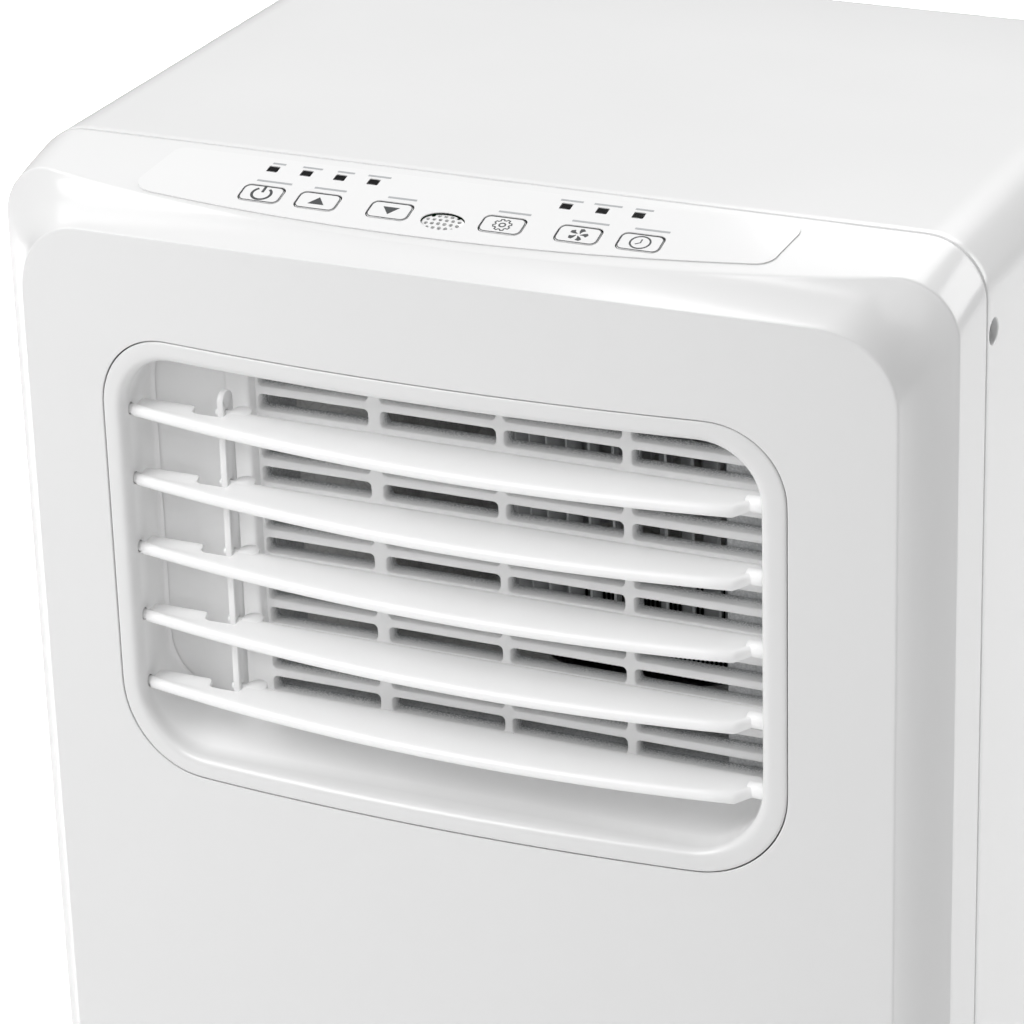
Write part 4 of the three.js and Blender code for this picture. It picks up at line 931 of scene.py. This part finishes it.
def cabinet_ring(y, inset, wall=WALL):
    """The U's outline at y: down its outside, and back up its inside."""
    def path(grow):
        half, top = HALF_WIDTH - inset - grow, HEIGHT - inset - grow
        r = max(4, CORNER - inset - grow)
        line = [(-half, mix(FLOOR_GAP, top - r, i / 10)) for i in range(10)]
        line += [(-half + r - r * math.cos(math.radians(a)), top - r + r * math.sin(math.radians(a)))
                 for a in range(0, 91, 6)]
        line += [(mix(-half + r, half - r, i / 12), top) for i in range(1, 12)]
        line += [(half - r + r * math.sin(math.radians(a)), top - r + r * math.cos(math.radians(a)))
                 for a in range(0, 91, 6)]
        return line + [(half, mix(top - r, FLOOR_GAP, i / 10)) for i in range(1, 11)]
    return [(x, y, z) for x, z in path(0.0) + path(wall)[::-1]]


def u_solid(rings):
    """Points and faces of a U-shaped wall, its two ends closed with quads."""
    points, faces = skin(rings, closed=False)
    n = len(rings[0])
    for k in (0, len(rings) - 1):
        faces += [(k * n + i, k * n + i + 1, k * n + n - 2 - i, k * n + n - 1 - i) for i in range(n // 2 - 1)]
    return points, faces


SCREW_Y, SCREW_Z = SEAM + 6.6, HEIGHT - 31.4
cabinet_rings = [cabinet_ring(SEAM + 1.0, 0.45, WALL - 0.45), cabinet_ring(SEAM + 1.12, 0.13, WALL - 0.13),
                 cabinet_ring(SEAM + 1.5, 0), cabinet_ring(SEAM + 4, 0)]
cabinet_rings += [cabinet_ring(mix(SEAM + 4, BACK_Y - BACK_ROUND, t), 0) for t in (0.25, 0.5, 0.75, 1)]
cabinet_rings += [cabinet_ring(BACK_Y - BACK_ROUND * (1 - math.sin(math.radians(a))),
                               BACK_ROUND * (1 - math.cos(math.radians(a))))
                  for a in (10, 20, 30, 40, 50, 60, 70, 80, 88)]
cabinet = solid("rear_cabinet_moulding", *u_solid(cabinet_rings), gloss_abs, 35)
tongue = solid("tongue", *u_solid([cabinet_ring(SEAM - 3.5, 3.0, 1.1), cabinet_ring(SEAM + 5, 3.0, 1.1),
                                   cabinet_ring(SEAM + 6, 2.2, 1.9)]))
pocket_outside, pocket_inside, screw_outside, screw_inside = [], [], [], []
for side in (-1, 1):
    def across(shape):
        return [(side * p[0], p[1], p[2]) for p in shape[0]], shape[1]

    def pocket(grow, mouth):
        """A tray-shaped pocket: its mouth is flared by 1.5 mm and its floor has rounded edges."""
        levels = [(mouth, grow + 1.5), (HALF_WIDTH - 0.3, grow + 1.5), (HALF_WIDTH - 1.0, grow + 0.6),
                  (HALF_WIDTH - 2.2, grow), (HALF_WIDTH - 18, grow - 1), (HALF_WIDTH - 24 - grow, grow - 5)]
        return skin([[(x, y, z) for y, z in rounded(90 + 2 * g, 40 + 2 * g, 9 + g, 6, SEAM + 125, HEIGHT - 120)]
                     for x, g in levels], closed=False, caps=True)

    def barrel(radius, x0, x1, flare=0.0):
        return skin([[(x, SCREW_Y + r * math.cos(t * math.pi / 16), SCREW_Z + r * math.sin(t * math.pi / 16))
                      for t in range(32)] for x, r in ((x0, radius), (x1 - 0.5, radius), (x1, radius + flare))],
                    closed=False, caps=True)

    pocket_outside.append(across(pocket(2.0, HALF_WIDTH - 1.2)))
    pocket_inside.append(across(pocket(0.0, HALF_WIDTH + 4)))
    screw_outside.append(across(barrel(6.4, HALF_WIDTH - 9, HALF_WIDTH - 1)))
    screw_inside.append(across(barrel(4.2, HALF_WIDTH - 6.5, HALF_WIDTH + 0.2, 0.5)))
carve(cabinet, tongue, "UNION")
carve(cabinet, solid("outsides", *merged(pocket_outside + screw_outside)), "UNION")
carve(cabinet, solid("insides", *merged(pocket_inside + screw_inside)))
soften(cabinet, 32)
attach(cabinet, "base")
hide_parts("rear_cabinet")
for side, name in ((-1, "left"), (1, "right")):
    parts = [spun([(0.3, 0.9), (1.6, 0.85), (2.8, 0.35), (3.3, -0.3), (3.4, -0.8), (3.3, -1.2), (0.3, -1.2)],
                  28, False)]
    quarter = Matrix.Rotation(math.radians(90 * side), 3, "Y")
    screw = solid(f"shell_screw_head_{name}", *moved(merged(parts), side * (HALF_WIDTH - 5), SCREW_Y, SCREW_Z, quarter),
                  zinc, 40)
    for w, d in ((1.6, 0.35), (0.35, 1.6)):
        carve(screw, solid("cross", *moved(merged([brick((-w, w), (-d, d), (-0.2, 1.4))]),
                                           side * (HALF_WIDTH - 5), SCREW_Y, SCREW_Z, quarter)))
    soften(screw, 40)
    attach(screw, "base")
    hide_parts(f"shell_screw_{name}")

# ---- back panel --------------------------------------------------------------------------------------------
# A flat ABS panel, 2.5 mm thick, closes the back with eight pan-head screws. It has two windows for the intakes,
# a round one for the hose collar and two small ones for the drain and the mains lead.
EXHAUST_Z = mm(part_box("exhaust_collar")[0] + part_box("exhaust_collar")[1])[2] / 2
UPPER, LOWER = [[mm(c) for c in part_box(f"intake_grille_{n}")] for n in ("upper", "lower")]
PANEL_HALF, PANEL_TOP = HALF_WIDTH - BACK_ROUND - WALL - 0.3, HEIGHT - BACK_ROUND - WALL - 0.3
DRAIN_X, LEAD_X, LOW_HOLE_Z = -110, 118, 70
panel_outline = [(-PANEL_HALF, FLOOR_GAP), (PANEL_HALF, FLOOR_GAP)]
panel_outline += [(PANEL_HALF - 8 + x, PANEL_TOP - 8 + z) for x, z in (polar(8, 11.25 * i) for i in range(9))]
panel_outline += [(8 - PANEL_HALF + x, PANEL_TOP - 8 + z) for x, z in (polar(8, 90 + 11.25 * i) for i in range(9))]
windows = [rounded(hi[0] - lo[0] + 1, hi[2] - lo[2] + 1, 1.5, 3, 0, (lo[2] + hi[2]) / 2) for lo, hi in (UPPER, LOWER)]
windows += [circle(62.6, 72, 0, EXHAUST_Z), circle(7.4, 28, DRAIN_X, LOW_HOLE_Z), circle(7.4, 28, LEAD_X, LOW_HOLE_Z)]
panel = solid("back_cover", *sheet(panel_outline, windows, lambda x, z: (x, BACK_Y - WALL, z),
                                   lambda x, z: (x, BACK_Y, z)), gloss_abs, 30)
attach(panel, "base")
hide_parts("back_panel")
facing_back = Matrix.Rotation(math.radians(-90), 3, "X")
head = spun([(0.3, 1.5), (1.6, 1.4), (2.9, 0.9), (3.5, 0.2), (3.6, -0.2), (0.3, -0.2)], 28, False)
screw_places = [(x, z) for x in (-141, 141) for z in (60, 250, 430, 640)]
heads = [moved(head, x, BACK_Y, z, facing_back) for x, z in screw_places]
panel_screws = solid("back_cover_screws", *merged(heads), zinc, 35)
for w, d in ((1.7, 0.35), (0.35, 1.7)):
    slots = [moved(brick((-w, w), (-d, d), (0.9, 2.4)), x, BACK_Y, z, facing_back) for x, z in screw_places]
    carve(panel_screws, solid("slots", *merged(slots)))
soften(panel_screws, 35)
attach(panel_screws, "base")

# ---- air intakes -------------------------------------------------------------------------------------------
# Two louvred ABS frames pull straight out of the back for cleaning. Each holds a filter: a black plastic net of
# 1.5 mm mesh on a frame.
net = finish("woven_black_filter_net")  # black threads 1.5 mm apart, with painted shade for the dark behind them in the gaps
place = add(net, "ShaderNodeTexCoord")
axes = add(net, "ShaderNodeSeparateXYZ", {"Vector": (place, "Object")})
strands = []
for axis in ("X", "Z"):
    turns = add(net, "ShaderNodeMath", {0: (axes, axis), 1: 2 * math.pi * 1000 / 1.5}, operation="MULTIPLY")
    strands.append(add(net, "ShaderNodeMath", {0: (turns, "Value")}, operation="SINE"))
weave = add(net, "ShaderNodeMath", {0: (strands[0], "Value"), 1: (strands[1], "Value")}, operation="MAXIMUM")
thread = add(net, "ShaderNodeMapRange", {"Value": (weave, "Value"), "From Min": 0.2, "From Max": 0.9})
net_tone = add(net, "ShaderNodeMix", {"Factor": (thread, "Result"), 6: linear("#060606"), 7: linear("#2b2d2f")},
               data_type="RGBA")
knots = add(net, "ShaderNodeBump", {"Height": (thread, "Result"), "Strength": 0.6, "Distance": 0.0003})
net_body = add(net, "ShaderNodeBsdfPrincipled", {"Base Color": (net_tone, 2), "Roughness": 0.55,
                                                 "Normal": (knots, "Normal")})
add(net, "ShaderNodeOutputMaterial", {"Surface": (net_body, "BSDF")})
for name, (lo, hi), rows in (("upper", UPPER, 12), ("lower", LOWER, 9)):
    half, low, high = hi[0], lo[2], hi[2]
    pitch = (high - low - 12) / rows
    openings = []
    for k in range(rows):
        z = low + 6 + (k + 0.5) * pitch
        for a, b in ((-half + 8, -3), (3, half - 8)):
            openings.append(((a + b) / 2, z, b - a, 0.62 * pitch))
    face_points, face_faces = grating(rounded(2 * half, high - low, 1.2, 3, 0, (low + high) / 2), openings, 3.2,
                                      -hi[1], 2.4, 0.5)
    face = [(x, -y, z) for x, y, z in face_points], face_faces
    frame_rings = [[(x, y, z) for x, z in rounded(2 * half - 2 * g, high - low - 2 * g, max(0.6, 1.2 - g), 3, 0,
                                                   (low + high) / 2)]
                   for g, y in ((0, hi[1] - 1.8), (0, lo[1]), (2.4, lo[1]), (2.4, hi[1] - 1.8))]
    grid = solid(f"intake_frame_{name}", *merged([face, skin(frame_rings)]), gloss_abs, 40)
    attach(grid, f"intake_{name}")
    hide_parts(f"intake_grille_{name}")
    dress(f"filter_{name}", net)

# ---- exhaust collar ----------------------------------------------------------------------------------------
# A round spigot of white polypropylene with a flange against the back panel. Three ramped lugs round its rim lock
# the hose on.
satin_pp = moulded("moulded_white_polypropylene", "#e6e7e7", "#ebebeb", 0.4, 0.03, 1.49)  # waxy white
collar_front = mm(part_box("exhaust_collar")[0])[1]
collar_profile = [(57.8, 0), (57.8, 33.4), (58.2, 34), (59.6, 34), (60, 33.4), (60, 31.2), (60, 29.8), (67.4, 29.8),
                  (68, 29.3), (68, 28.0), (67.6, 27.6), (62, 27.6), (62, 0)]
collar_parts = [spun([(r, z) for r, z in collar_profile], 96)]
inner_ribs = [moved(brick((-0.9, 0.9), (54.6, 58.2), (2, 20)), turn=Matrix.Rotation(math.radians(120 * k + 30), 3, "Z"))
              for k in range(3)]
collar = solid("hose_collar", *moved(merged(collar_parts + inner_ribs), 0, collar_front, EXHAUST_Z, facing_back),
               satin_pp, 40)
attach(collar, "base")
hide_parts("exhaust_collar")


# ---- base pan and casters ----------------------------------------------------------------------------------
# A polypropylene pan carries the compressor and closes the bottom. A twin-wheel caster is pushed into a socket at
# each corner: a hooded fork that swivels on its stem, and two grey-black rubber-tyred wheels on one axle.
def eased(name, node, material, width, angle=40):
    """A CAD node's shape with its edges eased, as a new piece."""
    made = bpy.data.objects.new(name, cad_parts[node].data.copy())
    bpy.context.scene.collection.objects.link(made)
    made.data.materials.clear()
    made.data.materials.append(material)
    work = bmesh.new()
    work.from_mesh(made.data)
    bmesh.ops.remove_doubles(work, verts=work.verts, dist=1e-6)
    bmesh.ops.dissolve_limit(work, angle_limit=math.radians(1), verts=work.verts, edges=work.edges)
    work.to_mesh(made.data)
    work.free()
    edge = made.modifiers.new("eased_edges", "BEVEL")
    edge.width = width / 1000
    edge.segments = 2
    edge.limit_method = "ANGLE"
    edge.angle_limit = math.radians(angle)
    edge.harden_normals = False
    settle(made)
    soften(made, 35)
    return made


pan = eased("base_tray", "base_pan", satin_pp, 0.8)
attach(pan, "base")
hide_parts("base_pan")
tyre_rubber = finish("moulded_grey_black_rubber")  # matt charcoal, scuffed paler in 4 mm patches
place = add(tyre_rubber, "ShaderNodeTexCoord")
scuff = add(tyre_rubber, "ShaderNodeTexNoise", {"Vector": (place, "Object"), "Scale": 1000 / 4, "Detail": 5.0})
rub_tone = add(tyre_rubber, "ShaderNodeMix", {"Factor": (scuff, "Fac"), 6: linear("#232426"), 7: linear("#3a3b3d")},
               data_type="RGBA")
grit = add(tyre_rubber, "ShaderNodeBump", {"Height": (scuff, "Fac"), "Strength": 0.2, "Distance": 0.0003})
rub_body = add(tyre_rubber, "ShaderNodeBsdfPrincipled", {"Base Color": (rub_tone, 2), "Roughness": 0.8,
                                                         "Normal": (grit, "Normal")})
add(tyre_rubber, "ShaderNodeOutputMaterial", {"Surface": (rub_body, "BSDF")})
sideways = Matrix.Rotation(math.radians(90), 3, "Y")
for k in range(1, 5):
    lo, hi = [mm(c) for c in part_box(f"caster_wheel_{k}")]
    cx, ay, r = (lo[0] + hi[0]) / 2, (lo[1] + hi[1]) / 2, (hi[2] - lo[2]) / 2
    tyre = [(2.1, 3.3), (6, 3.3), (6.6, 3.8), (12.5, 3.8), (13.2, 3.2), (r - 1.2, 3.2), (r - 0.3, 3.7), (r, 4.8),
            (r, 12.4), (r - 0.3, 13.5), (r - 1.2, 14), (13.2, 14), (12.5, 13.2), (6.6, 13.2), (6, 13.8), (2.1, 13.8)]
    rims = [spun([(a, s * b) for a, b in tyre], 48) for s in (-1, 1)]
    axle = spun([(0.4, -13.6), (1.9, -13.6), (2.1, -13.4), (2.1, 13.4), (1.9, 13.6), (0.4, 13.6)], 20, False)
    wheels = solid(f"twin_wheel_{k}", *moved(merged(rims + [axle]), cx, ay, r, sideways), tyre_rubber, 35)
    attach(wheels, f"wheel_{k}")
    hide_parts(f"caster_wheel_{k}")
    # The hood is an arch over both wheels with a web between them, on a turned stem.
    span = [math.radians(a) for a in range(-12, 193, 5)]
    arch = []
    for x, inner in ((-14.9, 18.3), (-14.4, 18.0), (-3.2, 18.0), (-2.8, 17.6), (-2.6, 6.0), (2.6, 6.0), (2.8, 17.6),
                     (3.2, 18.0), (14.4, 18.0), (14.9, 18.3), (15.0, 18.9), (14.4, 19.35), (0, 19.4), (-14.4, 19.35),
                     (-15.0, 18.9)):
        arch.append([(cx + x, ay + inner * math.cos(a), r + inner * math.sin(a)) for a in span])
    hood_points, hood_faces = [], []
    n, m = len(span), len(arch)
    hood_points = [p for row in arch for p in row]
    for j in range(m):
        a, b = j * n, ((j + 1) % m) * n
        hood_faces += [(a + i, b + i, b + i + 1, a + i + 1) for i in range(n - 1)]
    hood_faces += [tuple(j * n for j in range(m)), tuple(j * n + n - 1 for j in range(m))[::-1]]
    hood_shape = hood_points, hood_faces
    sy = ay - 11  # the stem stands ahead of the axle
    stem = moved(spun([(0.5, 50.6), (3.4, 50.6), (4, 50), (4, 39.4), (8.6, 39.4), (9, 39), (9, 36.4), (8.4, 34),
                       (6, 33), (0.5, 33)], 32, False), cx, sy)
    neck = moved(brick((-4.6, 4.6), (-4, 8), (32.5, 36)), cx, sy)
    hub = moved(spun([(2.9, -2.6), (6.2, -2.6), (6.2, 2.6), (2.9, 2.6)], 32), cx, ay, r, sideways)
    hood = solid(f"caster_hood_{k}", *hood_shape, satin_pp, 35)
    for extra in (stem, neck, hub):
        carve(hood, solid("extra", *extra), "UNION")
    soften(hood, 35)
    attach(hood, f"caster_{k}")
    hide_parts(f"caster_fork_{k}")

# ---- drain and lead bush -----------------------------------------------------------------------------------
# Low on the back, a flanged drain spout is shut by a rubber plug with a round pull, and the mains lead leaves by a
# stepped rubber bush.
drain_y = mm(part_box("drain_spout")[0])[1]
spout = solid("drain_nozzle", *moved(spun([(4, 0), (4, 16.2), (4.3, 16.5), (5.7, 16.5), (6, 16.2), (6, 13.6),
                                           (8.8, 13.6), (9, 13.4), (9, 11.8), (8.8, 11.6), (7, 11.6), (7, 0)], 40),
                                     DRAIN_X, drain_y, LOW_HOLE_Z, facing_back), satin_pp, 35)
plug = solid("drain_stopper", *moved(spun([(0.3, 8), (3.2, 8), (3.7, 8.6), (3.7, 16.7), (5.4, 16.7), (5.8, 17.1),
                                           (5.8, 17.7), (5.4, 18), (3.6, 18), (3.2, 17.7), (0.3, 17.7)], 40, False),
                                     DRAIN_X, drain_y, LOW_HOLE_Z, facing_back), tyre_rubber, 35)
bush = solid("lead_bush", *moved(spun([(3.4, 0), (3.4, 15.1), (3.7, 15.5), (5.2, 15.5), (6, 15.2), (8.6, 13.9),
                                       (9, 13.4), (9, 11.9), (8.7, 11.6), (7, 11.6), (7, 0)], 40),
                                 LEAD_X, mm(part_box("cord_bush")[0])[1], LOW_HOLE_Z, facing_back), tyre_rubber, 35)
for made, body, node_name, finish_slot in ((spout, "base", "drain_spout", "trim_white"),
                                           (plug, "drain_plug", "drain_plug", "rubber_black"),
                                           (bush, "base", "cord_bush", "rubber_black")):
    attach(made, body)
    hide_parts(node_name)

# ---- inner units -------------------------------------------------------------------------------------------
# The refrigerant circuit stays as the frame has it: two finned coils, a black-enamelled compressor and its
# accumulator, bent copper pipes, and the lower fan in its housing.
fins = finish("pressed_aluminium_fins")  # bright vertical fins 1.8 mm apart, with painted shade in the gaps between
place = add(fins, "ShaderNodeTexCoord")
axes = add(fins, "ShaderNodeSeparateXYZ", {"Vector": (place, "Object")})
turns = add(fins, "ShaderNodeMath", {0: (axes, "X"), 1: 2 * math.pi * 1000 / 1.8}, operation="MULTIPLY")
wave = add(fins, "ShaderNodeMath", {0: (turns, "Value")}, operation="SINE")
edge = add(fins, "ShaderNodeMapRange", {"Value": (wave, "Value"), "From Min": -0.4, "From Max": 0.5})
fin_tone = add(fins, "ShaderNodeMix", {"Factor": (edge, "Result"), 6: linear("#3b3e40"), 7: linear("#ced1d3")},
               data_type="RGBA")
comb = add(fins, "ShaderNodeBump", {"Height": (edge, "Result"), "Strength": 0.5, "Distance": 0.0006})
fin_body = add(fins, "ShaderNodeBsdfPrincipled", {"Base Color": (fin_tone, 2), "Roughness": 0.35, "Metallic": 1.0,
                                                  "Normal": (comb, "Normal")})
add(fins, "ShaderNodeOutputMaterial", {"Surface": (fin_body, "BSDF")})
copper = finish("bent_copper_tube")  # salmon metal, tarnished browner in 15 mm patches
place = add(copper, "ShaderNodeTexCoord")
tarnish = add(copper, "ShaderNodeTexNoise", {"Vector": (place, "Object"), "Scale": 1000 / 15, "Detail": 4.0})
tube_tone = add(copper, "ShaderNodeMix", {"Factor": (tarnish, "Fac"), 6: linear("#c98260"), 7: linear("#8f5335")},
                data_type="RGBA")
dulled = add(copper, "ShaderNodeMapRange", {"Value": (tarnish, "Fac"), "To Min": 0.2, "To Max": 0.5})
tube_body = add(copper, "ShaderNodeBsdfPrincipled", {"Base Color": (tube_tone, 2), "Roughness": (dulled, "Result"),
                                                     "Metallic": 1.0})
add(copper, "ShaderNodeOutputMaterial", {"Surface": (tube_body, "BSDF")})
enamel = moulded("stoved_black_enamel", "#141517", "#1b1c1e", 0.35, 0.06, 1.5)  # deep black with an orange peel
for name, material, slot_name in (
    ("evaporator", fins, "fin_aluminium"), ("condenser", fins, "fin_aluminium"),
    ("run_capacitor", zinc, "fin_aluminium"), ("fan_motor", zinc, "zinc_steel"), ("electrical_box", zinc, "zinc_steel"),
    ("compressor", enamel, "black_paint"), ("accumulator", enamel, "black_paint"),
    ("discharge_pipe", copper, "copper_tube"), ("suction_pipe", copper, "copper_tube"),
    ("fan_housing", grey_pp, "trim_white"), ("condenser_fan", grey_pp, "trim_white"),
):
    dress(name, material)
